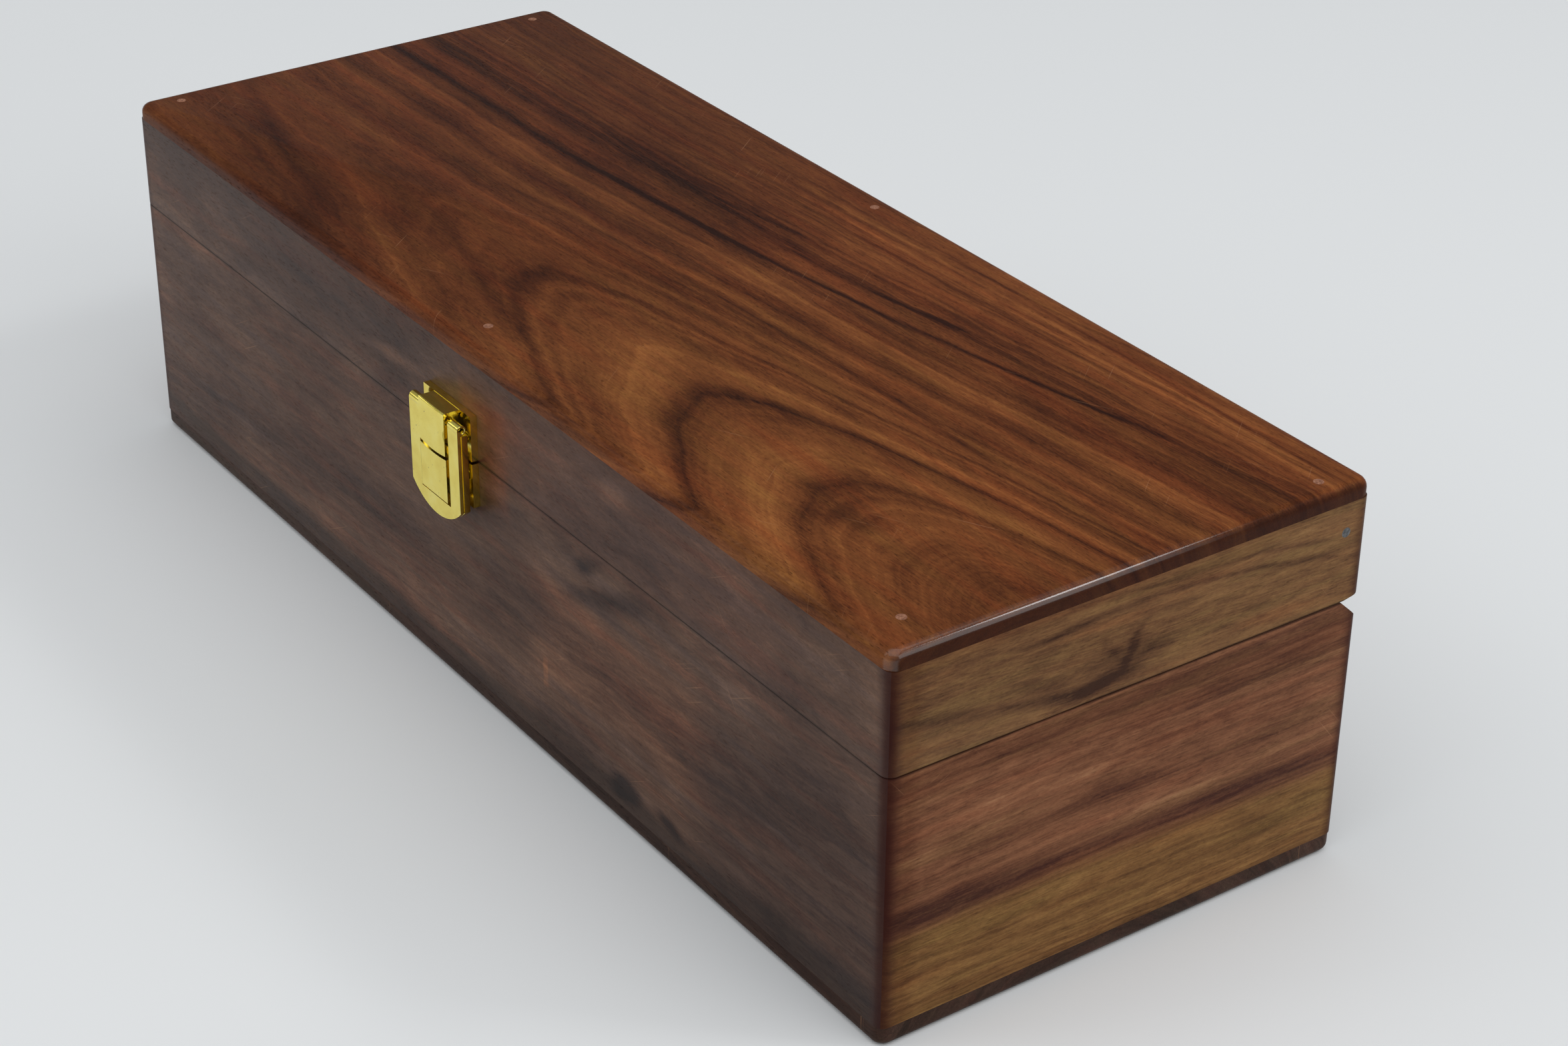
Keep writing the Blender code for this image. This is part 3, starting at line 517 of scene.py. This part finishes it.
# ---- metal, filler and fabric
def brass_material():
    n = Nodes("brass_plate")
    x, y, z = n.position()
    here = n.vector(x, y, z)
    cloud = n.noise(here, 0.16, 3.0, 0.55)
    grit = n.noise(here, 2.4, 4.0, 0.65)
    brushed = n.noise(n.vector(n.mul(x, 7.0), n.mul(y, 7.0), n.mul(z, 0.6)), 1.0, 2.0)
    pits = n.mul(n.remap(n.voronoi(here, 0.42), 0.13, 0.05), n.remap(grit, 0.47, 0.60))
    colour = n.ramp(cloud, [(0.25, srgb(238, 212, 92)), (0.5, srgb(250, 230, 112)),
                            (0.75, srgb(255, 240, 136))])
    colour = n.mix(n.remap(grit, 0.60, 0.78, 0.0, 0.45), colour, srgb(150, 116, 40))
    colour = n.mix(n.mul(pits, 0.85), colour, srgb(84, 74, 58))
    n.set(Base_Color=colour, Metallic=n.sub(1.0, n.mul(pits, 0.6)))
    n.set(Roughness=n.add(n.fma(grit, 0.12, 0.05), n.mul(brushed, 0.05)))
    sunk = n.fma(pits, -2.0, n.mul(brushed, 0.3))
    n.bump(n.fma(grit, 0.5, sunk), 0.25, 0.00002)
    return n.material


def steel_material():
    n = Nodes("dull_steel")
    here = n.place()
    grain = n.noise(here, 1.6, 4.0, 0.6)
    spots = n.remap(n.noise(here, 4.0, 3.0, 0.6), 0.55, 0.75)
    colour = n.ramp(grain, [(0.3, srgb(70, 70, 70)), (0.7, srgb(122, 123, 124))])
    n.set(Base_Color=n.mix(n.mul(spots, 0.5), colour, srgb(80, 68, 58)), Metallic=1.0)
    n.set(Roughness=n.fma(grain, 0.3, 0.25))
    n.bump(grain, 0.3, 0.00003)
    return n.material


def filler_material():
    n = Nodes("wood_filler")
    here = n.place()
    grain = n.noise(here, 2.6, 4.0, 0.65)
    colour = n.ramp(grain, [(0.30, srgb(98, 58, 38)), (0.50, srgb(140, 90, 64)),
                            (0.72, srgb(180, 130, 102))])
    n.set(Base_Color=colour, Roughness=n.fma(grain, 0.3, 0.45))
    n.bump(grain, 0.5, 0.00008)
    return n.material


def nap_material(name, deep, mid, pale, sheen, crush, pile):
    """A short pile: mottled where it has been stroked, with a soft rim of sheen."""
    n = Nodes(name)
    here = n.place()
    stroked = n.noise(here, crush, 4.0, 0.62, 0.2)
    fibre = n.noise(here, pile, 3.0, 0.7)
    dots = n.voronoi(here, pile * 0.8)
    tone = n.fma(n.sub(fibre, 0.5), 0.55, n.fma(dots, 0.16, stroked))
    colour = n.ramp(tone, [(0.30, deep), (0.56, mid), (0.86, pale)])
    n.set(Base_Color=colour, Sheen_Weight=sheen, Sheen_Roughness=0.45, Sheen_Tint=pale,
          Specular_IOR_Level=0.12)
    n.set(Roughness=n.fma(stroked, 0.15, 0.80))
    n.bump(n.fma(stroked, 0.6, n.fma(dots, -0.7, fibre)), 0.45, 0.00025)
    return n.material


brass, steel, filler = brass_material(), steel_material(), filler_material()
velvet = nap_material("velvet_pile", srgb(30, 15, 14), srgb(52, 27, 24), srgb(92, 56, 48), 0.55, 0.10, 3.2)
suede_dark = nap_material("suede_trim", srgb(96, 72, 52), srgb(124, 98, 74), srgb(156, 128, 100),
                          0.3, 0.13, 2.6)
suede = nap_material("suede_nap", srgb(142, 116, 86), srgb(178, 150, 116), srgb(208, 184, 150),
                     0.35, 0.13, 2.2)


# ---- small solids
def soften(bm, width, segments=2):
    """Round every edge that turns by more than 28 degrees."""
    limit = math.radians(28.0)
    edges = [edge for edge in bm.edges if len(edge.link_faces) == 2 and edge.calc_face_angle() > limit]
    bevel(bm, edges, width, segments, 0.6)


def prism(points, place, low, high, rounding):
    """A solid from an outline; place turns (a, b, distance) into a point."""
    bm = skinned([[place(a, b, along) for a, b in points] for along in (low, high)])
    soften(bm, rounding)
    return bm


def block(low, high, rounding):
    """A box between two corners with rounded edges."""
    corners = [(low[0], low[1]), (high[0], low[1]), (high[0], high[1]), (low[0], high[1])]
    bm = skinned([[(x, y, z) for x, y in corners] for z in (low[2], high[2])])
    soften(bm, rounding, 3)
    return bm


def gather(*parts):
    """Put several solids into one mesh."""
    whole = bmesh.new()
    for part in parts:
        shell = bpy.data.meshes.new("shell")
        bmesh.ops.recalc_face_normals(part, faces=part.faces)
        part.to_mesh(shell)
        part.free()
        whole.from_mesh(shell)
        bpy.data.meshes.remove(shell)
    return whole


def circle(radius, along, segments):
    angles = [2 * math.pi * step / segments for step in range(segments)]
    return [(radius * math.cos(angle), radius * math.sin(angle), along) for angle in angles]


def aimed(centre, axis, loops):
    """Loops made about the z axis, moved to a centre and turned to an axis."""
    turn = Vector((0, 0, 1)).rotation_difference(Vector(axis)).to_matrix()
    return [[Vector(centre) + turn @ Vector(point) for point in loop] for loop in loops]


def round_solid(centre, axis, profile, segments=32):
    """A closed turned solid from (radius, distance along the axis) pairs."""
    return skinned(aimed(centre, axis, [circle(radius, along, segments) for radius, along in profile]))


def rod(centre, axis, radius, length, lip):
    half = length / 2
    return round_solid(centre, axis, [(radius - lip, -half), (radius, -half + lip), (radius, half - lip),
                                      (radius - lip, half)])


def tube(centre, axis, outer, inner, length, lip=0.00008):
    """A round tube with softened ends, centred on a point."""
    half = length / 2
    profile = [(inner, -half + lip), (inner + lip, -half), (outer - lip, -half), (outer, -half + lip),
               (outer, half - lip), (outer - lip, half), (inner + lip, half), (inner, half - lip)]
    bm = bmesh.new()
    rings = bridge(bm, aimed(centre, axis, [circle(radius, along, 32) for radius, along in profile]), False)
    stitch(bm, rings[-1], rings[0])
    return bm


def screw(centre, axis, radius, rise, slot_depth, turn, shank, length):
    """A cross-slotted screw. Its head stands up by rise, and is countersunk where rise is 0."""
    segments, rounds = 48, 14
    arm, half_slot = radius * 0.62, radius * 0.13

    def surface(a, b):
        along_a = math.cos(turn) * a + math.sin(turn) * b
        along_b = -math.sin(turn) * a + math.cos(turn) * b
        depth = 0.0
        for long, wide in ((abs(along_a), abs(along_b)), (abs(along_b), abs(along_a))):
            inside = min(1.0, max(0.0, (half_slot * 1.5 - wide) / (half_slot * 0.8)))
            reach = min(1.0, max(0.0, (arm - long) / (radius * 0.25)))
            depth = max(depth, inside * reach)
        return rise * (1 - (math.hypot(a, b) / radius) ** 2.2) - slot_depth * depth

    top = [[(x, y, surface(x, y)) for x, y, _ in circle(radius * ring / rounds, 0.0, segments)]
           for ring in range(1, rounds + 1)]
    neck = -radius * 0.45 if rise == 0 else -0.0002
    stem = [(radius, -0.00006), (shank, neck), (shank, -length * 0.7), (shank * 0.15, -length)]
    bm = bmesh.new()
    loops = top + [circle(reach, along, segments) for reach, along in stem]
    rings = bridge(bm, aimed(centre, axis, loops), False)
    middle = bm.verts.new(aimed(centre, axis, [[(0, 0, surface(0.0, 0.0))]])[0][0])
    for index in range(segments):
        bm.faces.new((middle, rings[0][index], rings[0][(index + 1) % segments]))
    bm.faces.new(rings[-1])
    return bm


def brass_piece(name, bm, owner, node):
    piece(make_object(name, bm, brass), owner, "brass", node)


# ---- the catch, in millimetres
def side_place(depth, height, across):
    """Millimetres forward of the front wall, up, and across the catch, as a place."""
    return Vector((CATCH_X + across * MM, -HALF_Y - depth * MM, height * MM))


def front_place(across, height, depth):
    return side_place(depth, height, across)


def in_mm(node):
    low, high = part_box(node)
    return low.z / MM, high.z / MM, (high.x - low.x) / 2 / MM


LID_PLATE_LOW, LID_PLATE_HIGH, PLATE_HALF = in_mm("catch_lid_plate")
HOOK_PLATE_LOW, HOOK_PLATE_HIGH, _ = in_mm("catch_hook_plate")
LEVER_TIP, _, LEVER_HALF = in_mm("catch_lever")
PANEL_LOW, PANEL_HIGH, BAR_HALF = in_mm("catch_panel")
PIN_DEPTH, PIN_HEIGHT = (-HALF_Y - LEVER_AXIS.y) / MM, LEVER_AXIS.z / MM
BRACKET_HALF, TONGUE_FRONT, TONGUE_BACK, TONGUE_LOW = 5.3, 5.5, 5.0, 61.25
ROOF_HIGH, ROOF_SHEET, BEND_R = LID_PLATE_HIGH - 0.1, 0.65, 0.45
LEVER_FRONT, LEVER_BACK, LEVER_SHEET, LEVER_STRAIGHT = 5.05, 2.6, 0.8, 49.9
WINDOW_HALF, WINDOW_LOW, KNUCKLE = 6.1, 49.8, 1.15
PANEL_HALF, PANEL_FRONT, PANEL_BACK = 5.4, 5.4, 3.3
PLATE_THICK = 1.6
NOTCH_HEIGHT, NOTCH_HALF, NOTCH_DEPTH = 66.5, 1.35, 0.62


def plate(low, high):
    corners = [(-PLATE_HALF, low), (PLATE_HALF, low), (PLATE_HALF, high), (-PLATE_HALF, high)]
    return prism(corners, front_place, 0.02, PLATE_THICK, 0.00016)


def tongue_point(across, depth, height):
    """Bow the bracket's tongue at its top and foot, and cut the small oval notch in its right edge."""
    spread = across / BRACKET_HALF
    notch = max(0.0, 1.0 - ((height - NOTCH_HEIGHT) / NOTCH_HALF) ** 2)
    side = BRACKET_HALF - (NOTCH_DEPTH * math.sqrt(notch) if across > 0 and depth > 4.9 else 0.0)
    foot = 0.5 * spread * spread * max(0.0, 1.0 - (height - TONGUE_LOW) / 1.2)
    sag = 0.16 * (1 - spread * spread) * min(1.0, max(0.0, (height - 69.5) / 2.0)) if depth > 4.0 else 0.0
    return side_place(depth, height + foot - sag, spread * side)


def bent_tongue():
    heights = [70.4, 69.4, 68.4, 67.9, 67.7, 67.4, 67.0, 66.5, 66.0, 65.6, 65.3, 65.1, 64.6, 63.6, 62.6,
               61.9, TONGUE_LOW]
    bend = arc((TONGUE_FRONT - BEND_R, ROOF_HIGH - BEND_R), BEND_R, 90, 0, 5)
    roof = [1.2, 2.6, 4.0]
    inner_bend = arc((TONGUE_BACK - 0.2, ROOF_HIGH - ROOF_SHEET - 0.2), 0.2, 90, 0, 5)
    outside = [(depth, ROOF_HIGH) for depth in roof] + bend + [(TONGUE_FRONT, height) for height in heights]
    inside = [(depth, ROOF_HIGH - ROOF_SHEET) for depth in roof] + inner_bend
    inside += [(TONGUE_BACK, height) for height in heights]
    section = outside + inside[::-1]
    stations = [BRACKET_HALF * (step / 10 - 1) for step in range(21)]
    return skinned([[tongue_point(station, *point) for point in section] for station in stations])


ear_outline = [(5.15, 71.2), (5.15, 64.9)] + arc((3.0, 66.45), 1.55, 270, 180, 6)
ear_outline += [(1.42, 68.4), (1.55, 69.6), (1.85, 70.6), (2.3, 71.2)]
ears = [prism(ear_outline, side_place, low, low + 0.6, 0.0001) for low in (-5.24, 4.64)]
bracket = gather(plate(LID_PLATE_LOW, LID_PLATE_HIGH), bent_tongue(), *ears)
brass_piece("catch_lid_bracket", bracket, "lid", "catch_lid_plate")

hook_outline = [(1.2, 59.6), (1.2, 58.7), (2.75, 58.7), (2.75, 58.2), (3.3, 58.2), (3.3, 59.1), (2.9, 59.6)]
hook = prism(hook_outline, side_place, -3.0, 3.0, 0.0001)
hook_plate = gather(plate(HOOK_PLATE_LOW, HOOK_PLATE_HIGH), hook)
brass_piece("catch_box_hook", hook_plate, "box", "catch_hook_plate")


def tip_arc(half, tip):
    """The round bottom of the lever between its straight sides."""
    drop = LEVER_STRAIGHT - tip
    radius = (half * half + drop * drop) / (2 * drop)
    swing = math.degrees(math.asin(half / radius))
    return arc((0.0, tip + radius), radius, 270 - swing, 270 + swing, 20)


def lever_face():
    """The lever's front plate: two legs and a round foot about the window."""
    foot = tip_arc(LEVER_HALF, LEVER_TIP)
    window = [(WINDOW_HALF, PIN_HEIGHT), (WINDOW_HALF, WINDOW_LOW), (-WINDOW_HALF, WINDOW_LOW),
              (-WINDOW_HALF, PIN_HEIGHT)]
    outline = [(-LEVER_HALF, PIN_HEIGHT)] + foot + [(LEVER_HALF, PIN_HEIGHT)] + window
    return prism(outline, front_place, LEVER_FRONT - LEVER_SHEET, LEVER_FRONT, 0.00015)


def lever_rim():
    """The flange behind the front plate: down one side, round the foot and up the other."""
    top = PIN_HEIGHT - 1.3
    outer = [(-LEVER_HALF, top)] + tip_arc(LEVER_HALF, LEVER_TIP) + [(LEVER_HALF, top)]
    half = LEVER_HALF - LEVER_SHEET
    inner = [(-half, top)] + tip_arc(half, LEVER_TIP + LEVER_SHEET) + [(half, top)]
    deep, shallow = LEVER_BACK, LEVER_FRONT - LEVER_SHEET - 0.1
    lip = 0.1
    loops = []
    for (x, z), (inner_x, inner_z) in zip(outer, inner):
        shift_x, shift_z = (inner_x - x) * lip / LEVER_SHEET, (inner_z - z) * lip / LEVER_SHEET
        skirt, tuck = (x + shift_x / 3, z + shift_z / 3), (x + 2 * shift_x, z + 2 * shift_z)
        section = [(x + shift_x, z + shift_z, deep), (*skirt, deep + lip), (*skirt, shallow - lip),
                   (*tuck, shallow), (*tuck, shallow + 0.2), (inner_x, inner_z, shallow + 0.2),
                   (inner_x, inner_z, deep + lip), (inner_x - shift_x, inner_z - shift_z, deep)]
        loops.append([front_place(*point) for point in section])
    return skinned(loops)


knuckle_length = LEVER_HALF - WINDOW_HALF - 0.1
knuckles = [tube(side_place(PIN_DEPTH, PIN_HEIGHT, sign * (WINDOW_HALF + knuckle_length / 2)), (1, 0, 0),
                 KNUCKLE * MM, 0.72 * MM, knuckle_length * MM) for sign in (-1, 1)]
brass_piece("catch_lever_plate", gather(lever_face(), lever_rim(), *knuckles), "lever", "catch_lever")


def panel_face():
    """The inner panel's front skin, its top edge bowed like the tongue's foot."""
    top = [(PANEL_HALF * (step / 6 - 1), PANEL_HIGH - 0.35 + 0.4 * (step / 6 - 1) ** 2)
           for step in range(13)]
    foot = PANEL_LOW + 0.15
    outline = [(-PANEL_HALF, foot), (PANEL_HALF, foot)] + top[::-1]
    return prism(outline, front_place, PANEL_BACK, PANEL_FRONT, 0.00018)


bar_outline = [(-BAR_HALF, 51.5), (BAR_HALF, 51.5), (BAR_HALF, 55.3), (-BAR_HALF, 55.3)]
nib_outline = [(4.0, 57.0), (1.9, 57.0), (1.9, 58.4), (2.45, 58.4), (2.45, 57.8), (4.0, 57.8)]
panel = gather(panel_face(), prism(bar_outline, front_place, 3.4, 3.9, 0.0001),
               prism(nib_outline, side_place, -2.6, 2.6, 0.00008))
brass_piece("catch_inner_panel", panel, "lever", "catch_panel")
catch_pin = rod(LEVER_AXIS, (1, 0, 0), 0.00045, 2 * (LEVER_HALF - KNUCKLE) * MM, 0.00012)
brass_piece("catch_pin", catch_pin, "lid", "lever_pin")

for owner, turn_a, turn_b in (("lid", 0.3, 1.0), ("box", 0.7, 0.15)):
    for side, turn in (("left", turn_a), ("right", turn_b)):
        node = f"catch_{owner}_screw_{side}"
        low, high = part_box(node)
        seat = Vector(((low.x + high.x) / 2, -HALF_Y - PLATE_THICK * MM, (low.z + high.z) / 2))
        made = screw(seat, (0, -1, 0), (high.z - low.z) / 2, 0.00075, 0.0003, turn, 0.0008, 0.0055)
        brass_piece(node.replace("catch", "dome"), made, owner, node)


# ---- nails
for node in [name for name in frame["nodes"] if "nail" in name]:
    low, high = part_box(node)
    centre = (low + high) / 2
    if node.startswith("top"):
        face, axis, look, slot = Vector((centre.x, centre.y, HEIGHT)), (0, 0, 1), filler, "filler"
    else:
        face, axis, look, slot = Vector((HALF_X, centre.y, centre.z)), (1, 0, 0), steel, "steel"
    profile = [(0.0006, -0.014), (0.0006, -0.0012), (0.0010, -0.001), (0.00108, 0.00001),
               (0.00095, NAIL_RISE * 0.7), (0.0006, NAIL_RISE), (0.0002, NAIL_RISE)]
    piece(make_object(f"{node}_head", round_solid(face, axis, profile, 24), look), "lid", slot, node)


# ---- hinges
LEAF_CLEAR, LEAF_THICK, LEAF_HALF, LEAF_FRONT = 0.00015, 0.0012, 0.012, 0.0533
BARREL_R, BORE_R, HINGE_PIN_R = 0.0017, 0.0009, 0.0006
for side in ("left", "right"):
    for owner, level_side in (("box", -1), ("lid", 1)):
        node = f"{side}_hinge_{owner}_leaf"
        low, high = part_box(node)
        seam = HINGE.z + level_side * LEAF_CLEAR
        far = seam + level_side * LEAF_THICK
        third = (high.x - low.x if owner == "box" else 2 * LEAF_HALF) / 3
        middle = (low.x + high.x) / 2
        under, over = sorted((seam, far))
        leaf = block((middle - LEAF_HALF, low.y, under), (middle + LEAF_HALF, LEAF_FRONT, over), 0.0002)
        spans = [-third, third] if owner == "box" else [0.0]
        barrels, necks = [], []
        for span in spans:
            barrels.append(tube((middle + span, HINGE.y, HINGE.z), (1, 0, 0), BARREL_R, BORE_R,
                                third - 0.0003, 0.00015))
            half = third / 2 - 0.00015
            necks.append(block((middle + span - half, 0.0525, under + 0.0001),
                               (middle + span + half, HINGE.y - 0.001, over - 0.0001), 0.0001))
        brass_piece(f"{side}_hinge_{owner}_plate", gather(leaf, *barrels, *necks), owner, node)
        for end, turn in (("a", 0.4), ("b", 1.2)):
            screw_node = f"{side}_hinge_{owner}_screw_{end}"
            screw_low, screw_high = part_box(screw_node)
            seat = (screw_low + screw_high) / 2
            seat.z = seam - level_side * 0.00002
            made = screw(seat, (0, 0, -level_side), 0.0016, 0.0, 0.00025, turn, 0.0006, 0.006)
            brass_piece(f"{screw_node}_head", made, owner, screw_node)
    low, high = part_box(f"{side}_hinge_pin")
    made = rod((low + high) / 2, (1, 0, 0), HINGE_PIN_R, high.x - low.x, 0.0002)
    brass_piece(f"{side}_hinge_rod", made, "box", f"{side}_hinge_pin")


# ---- velvet lining and dividers
def covered_card(name, node, body, rounding, swell):
    """A card covered in velvet: rounded edges and a skin that is never quite flat."""
    low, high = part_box(node)
    bm = block(low, high, rounding)
    bmesh.ops.triangulate(bm, faces=[face for face in bm.faces if len(face.verts) > 4])
    for _ in range(2):
        long_edges = [edge for edge in bm.edges if edge.calc_length() > 0.006]
        bmesh.ops.subdivide_edges(bm, edges=long_edges, cuts=1, use_grid_fill=True)
    bmesh.ops.triangulate(bm, faces=bm.faces)
    middle = (low + high) / 2
    thin = min(range(3), key=lambda axis: (high - low)[axis])
    for vert in bm.verts:
        away = vert.co[thin] - middle[thin]
        if abs(away) / ((high - low)[thin] / 2) > 0.9:
            vert.co[thin] -= math.copysign(noise.noise(vert.co * 55.0) * swell, away)
    piece(make_object(name, bm, velvet, 60.0), body, "velvet", node)


for node in [name for name in frame["nodes"] if name.endswith("_lining")]:
    body = "lid" if node.startswith("lid") else "box"
    covered_card(node.replace("lining", "velvet"), node, body, 0.0010 if body == "lid" else 0.0005, 0.00015)
for node in [name for name in frame["nodes"] if name.startswith("divider")]:
    covered_card(node.replace("divider", "velvet_divider"), node, "box", 0.0011, 0.0002)


# ---- watch pillows
CORD_R, CORD_STEPS, CORD_TURNS, CORD_SIDES = 0.0006, 96, 18, 8
CUT_SHRINK, FILL_CAP, FILL_PRESSURE, FILL_STEPS = 0.0016, 0.0035, 4.0, 20
SEAM_INSET = 0.0034
first_low, first_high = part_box("watch_pillow_1")
PILLOW = tuple(first_high - first_low)
SEAMS = (-PILLOW[0] / 2 + SEAM_INSET, PILLOW[0] / 2 - SEAM_INSET)


def pillow_shape(lean, seed):
    """The cut and sewn roll before it is filled: an oval barrel with tucked ends."""
    half = [length / 2 - CUT_SHRINK for length in PILLOW]
    loops = []
    stations = [(-1.0, 0.86), (-0.96, 0.955), (-0.80, 0.985), (-0.4, 1.0), (0.0, 1.0), (0.4, 1.0),
                (0.80, 0.985), (0.96, 0.955), (1.0, 0.86)]
    for along, scale in stations:
        loop = []
        for step in range(40):
            angle = 2 * math.pi * step / 40
            ripple = 1 + 0.012 * noise.noise(Vector((math.cos(angle), math.sin(angle), along * 1.4)) * 1.7
                                             + Vector((seed, 0, 0)))
            y = math.copysign(abs(math.cos(angle)) ** 0.86, math.cos(angle)) * half[1] * scale * ripple
            z = math.copysign(abs(math.sin(angle)) ** 0.92, math.sin(angle)) * half[2] * scale * ripple
            loop.append((along * half[0] + lean * z, y, z))
        loops.append(loop)
    return skinned(loops)


def baked(made):
    """Keep an object's mesh with its modifiers applied, and remove the object."""
    bpy.context.view_layer.update()
    mesh = bpy.data.meshes.new_from_object(evaluated(made))
    bpy.data.objects.remove(made)
    return mesh


def fill(bm, name):
    """Inflate a sewn shape as cloth, hold each point within a cap of where it was, and smooth it."""
    shape = make_object(name, bm, suede, 80.0)
    voxels = shape.modifiers.new("remesh", "REMESH")
    voxels.mode, voxels.voxel_size = "VOXEL", 0.0032
    even = baked(shape)
    cloth_piece = add_object(name, even)
    before = [vert.co.copy() for vert in even.vertices]
    cloth = cloth_piece.modifiers.new("filling", "CLOTH")
    cloth.settings.quality = 6
    cloth.settings.mass = 0.12
    cloth.settings.tension_stiffness = cloth.settings.compression_stiffness = 12.0
    cloth.settings.bending_stiffness = 0.6
    cloth.settings.use_pressure = True
    cloth.settings.uniform_pressure_force = FILL_PRESSURE
    cloth.settings.effector_weights.gravity = 0.0
    cloth.collision_settings.use_collision = False
    cloth.point_cache.frame_start, cloth.point_cache.frame_end = 1, FILL_STEPS
    for step in range(1, FILL_STEPS + 1):
        bpy.context.scene.frame_set(step)
    settled = evaluated(cloth_piece)
    after = [vert.co.copy() for vert in settled.data.vertices]
    cloth_piece.modifiers.clear()
    for vert, old, new in zip(even.vertices, before, after):
        move = new - old
        vert.co = old + move * min(1.0, FILL_CAP / max(move.length, 1e-9))
    bpy.context.scene.frame_set(1)
    smooth = cloth_piece.modifiers.new("smooth", "SUBSURF")
    smooth.levels = smooth.render_levels = 1
    return baked(cloth_piece)


def sewn(mesh):
    """Pull the ring seams in, pucker the ends, flatten the foot and keep the roll inside its space."""
    bm = bmesh.new()
    bm.from_mesh(mesh)
    half = [length / 2 for length in PILLOW]
    for vert in bm.verts:
        x, y, z = vert.co
        around = math.atan2(z, y)
        pinch = sum(math.exp(-((x - seam) / 0.0011) ** 2) for seam in SEAMS)
        crease = 0.5 + 0.5 * noise.noise(Vector((around * 7.0, x * 90.0, 3.0)))
        near = sum(math.exp(-((x - seam) / 0.0045) ** 2) for seam in SEAMS)
        pull = 1 - 0.030 * pinch - 0.010 * near * crease
        y, z = y * pull, z * pull
        dip = 0.0022 * math.exp(-((y * y + z * z) / 0.00006)) if abs(x) > half[0] * 0.9 else 0.0
        x -= math.copysign(dip, x)
        foot = -half[2] + 0.0003
        if z < foot + 0.0006:
            z = foot + 0.0006 - 0.0006 * math.tanh((foot + 0.0006 - z) / 0.0006)
        vert.co = (max(-half[0], min(half[0], x)), max(-half[1], min(half[1], y)), min(half[2], z))
    return bm


def seam_cord(mesh, station, centre):
    """A twisted cord laid round the roll on a seam, following its surface."""
    skin = bvhtree.BVHTree.FromPolygons([vert.co for vert in mesh.vertices],
                                        [face.vertices for face in mesh.polygons])
    spine = []
    for step in range(CORD_STEPS):
        angle = 2 * math.pi * step / CORD_STEPS
        way = Vector((0, math.cos(angle), math.sin(angle)))
        hit = skin.ray_cast(Vector((station, 0, 0)) + way * 0.1, -way)[0]
        spine.append((hit - way * CORD_R * 0.25, way))
    bm = bmesh.new()
    loops = []
    for index, (place, way) in enumerate(spine):
        twist = 2 * math.pi * index * CORD_TURNS / CORD_STEPS
        loop = []
        for corner in range(CORD_SIDES):
            angle = 2 * math.pi * corner / CORD_SIDES
            swell = CORD_R * (1 + 0.16 * math.cos(2 * (angle - twist)))
            loop.append(place + Vector((math.cos(angle) * swell, 0, 0)) + way * math.sin(angle) * swell)
        loops.append([bm.verts.new(point + centre) for point in loop])
    for first, second in zip(loops, loops[1:] + loops[:1]):
        stitch(bm, first, second)
    return bm


filled = [fill(pillow_shape(lean, seed), f"filled_{seed}") for lean, seed in ((0.012, 4), (-0.016, 9))]
for number in range(1, 7):
    low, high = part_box(f"watch_pillow_{number}")
    centre = (low + high) / 2
    flip_x, flip_y = (1, -1, 1)[number % 3], (1, 1, -1, -1)[number % 4]
    skin = filled[number % 2].copy()
    skin.transform(Matrix.Diagonal((flip_x, flip_y, 1, 1)))
    if flip_x * flip_y < 0:
        skin.flip_normals()
    roll_bm = sewn(skin)
    shell = bpy.data.meshes.new("sewn_shell")
    roll_bm.to_mesh(shell)
    cords = [seam_cord(shell, seam, centre) for seam in SEAMS]
    bmesh.ops.translate(roll_bm, verts=roll_bm.verts, vec=centre)
    roll = piece(make_object(f"pillow_roll_{number}", roll_bm, suede, 80.0), f"pillow_{number}", "suede",
                 f"watch_pillow_{number}")
    trim = make_object(f"pillow_piping_{number}", gather(*cords), suede_dark, 80.0)
    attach(trim, f"pillow_{number}")


# ---- floor, light and camera
table = Nodes("pale_table")
table.set(Base_Color=(0.86, 0.874, 0.88), Roughness=0.6, Specular_IOR_Level=0.25)
bm = bmesh.new()
bmesh.ops.create_grid(bm, x_segments=2, y_segments=2, size=6.0)
floor = make_object("table_top", bm, table.material)
floor.location.z = -0.0001


def area_light(name, place, target, size, power, colour=(1.0, 1.0, 1.0)):
    light = bpy.data.lights.new(name, "AREA")
    light.shape = "RECTANGLE"
    light.size, light.size_y = size
    light.energy = power
    light.color = colour
    made = add_object(name, light)
    made.location = place
    made.rotation_euler = (Vector(target) - Vector(place)).to_track_quat("-Z", "Y").to_euler()


area_light("window", (1.8, 0.7, 1.0), (0, 0, 0.03), (1.6, 1.2), 10.0, (1.0, 0.99, 0.97))
area_light("strip", (0.9, 0.95, 1.3), (0, 0, 0.05), (0.4, 0.25), 4.0)
area_light("side", (-1.2, -1.6, 1.3), (0, 0, 0), (1.6, 1.2), 9.0)
area_light("ceiling", (0.4, -0.4, 2.2), (0, 0, 0), (3.0, 3.0), 26.5)
world = bpy.data.worlds.new("studio")
world.use_nodes = True
backdrop = world.node_tree.nodes["Background"].inputs
backdrop["Color"].default_value = (0.92, 0.96, 1.0, 1.0)
backdrop["Strength"].default_value = 0.32
bpy.context.scene.world = world
bpy.context.scene.view_settings.view_transform = "Standard"

camera_data = bpy.data.cameras.new("camera")
camera_data.lens = 73.77
camera_data.sensor_width = 36.0
camera_data.clip_start, camera_data.clip_end = 0.01, 50.0
camera = add_object("camera", camera_data)
camera.location = (0.52916, -0.34831, 0.38520)
camera.rotation_euler = [math.radians(angle) for angle in (60.288, -0.562, 54.980)]
bpy.context.scene.camera = camera
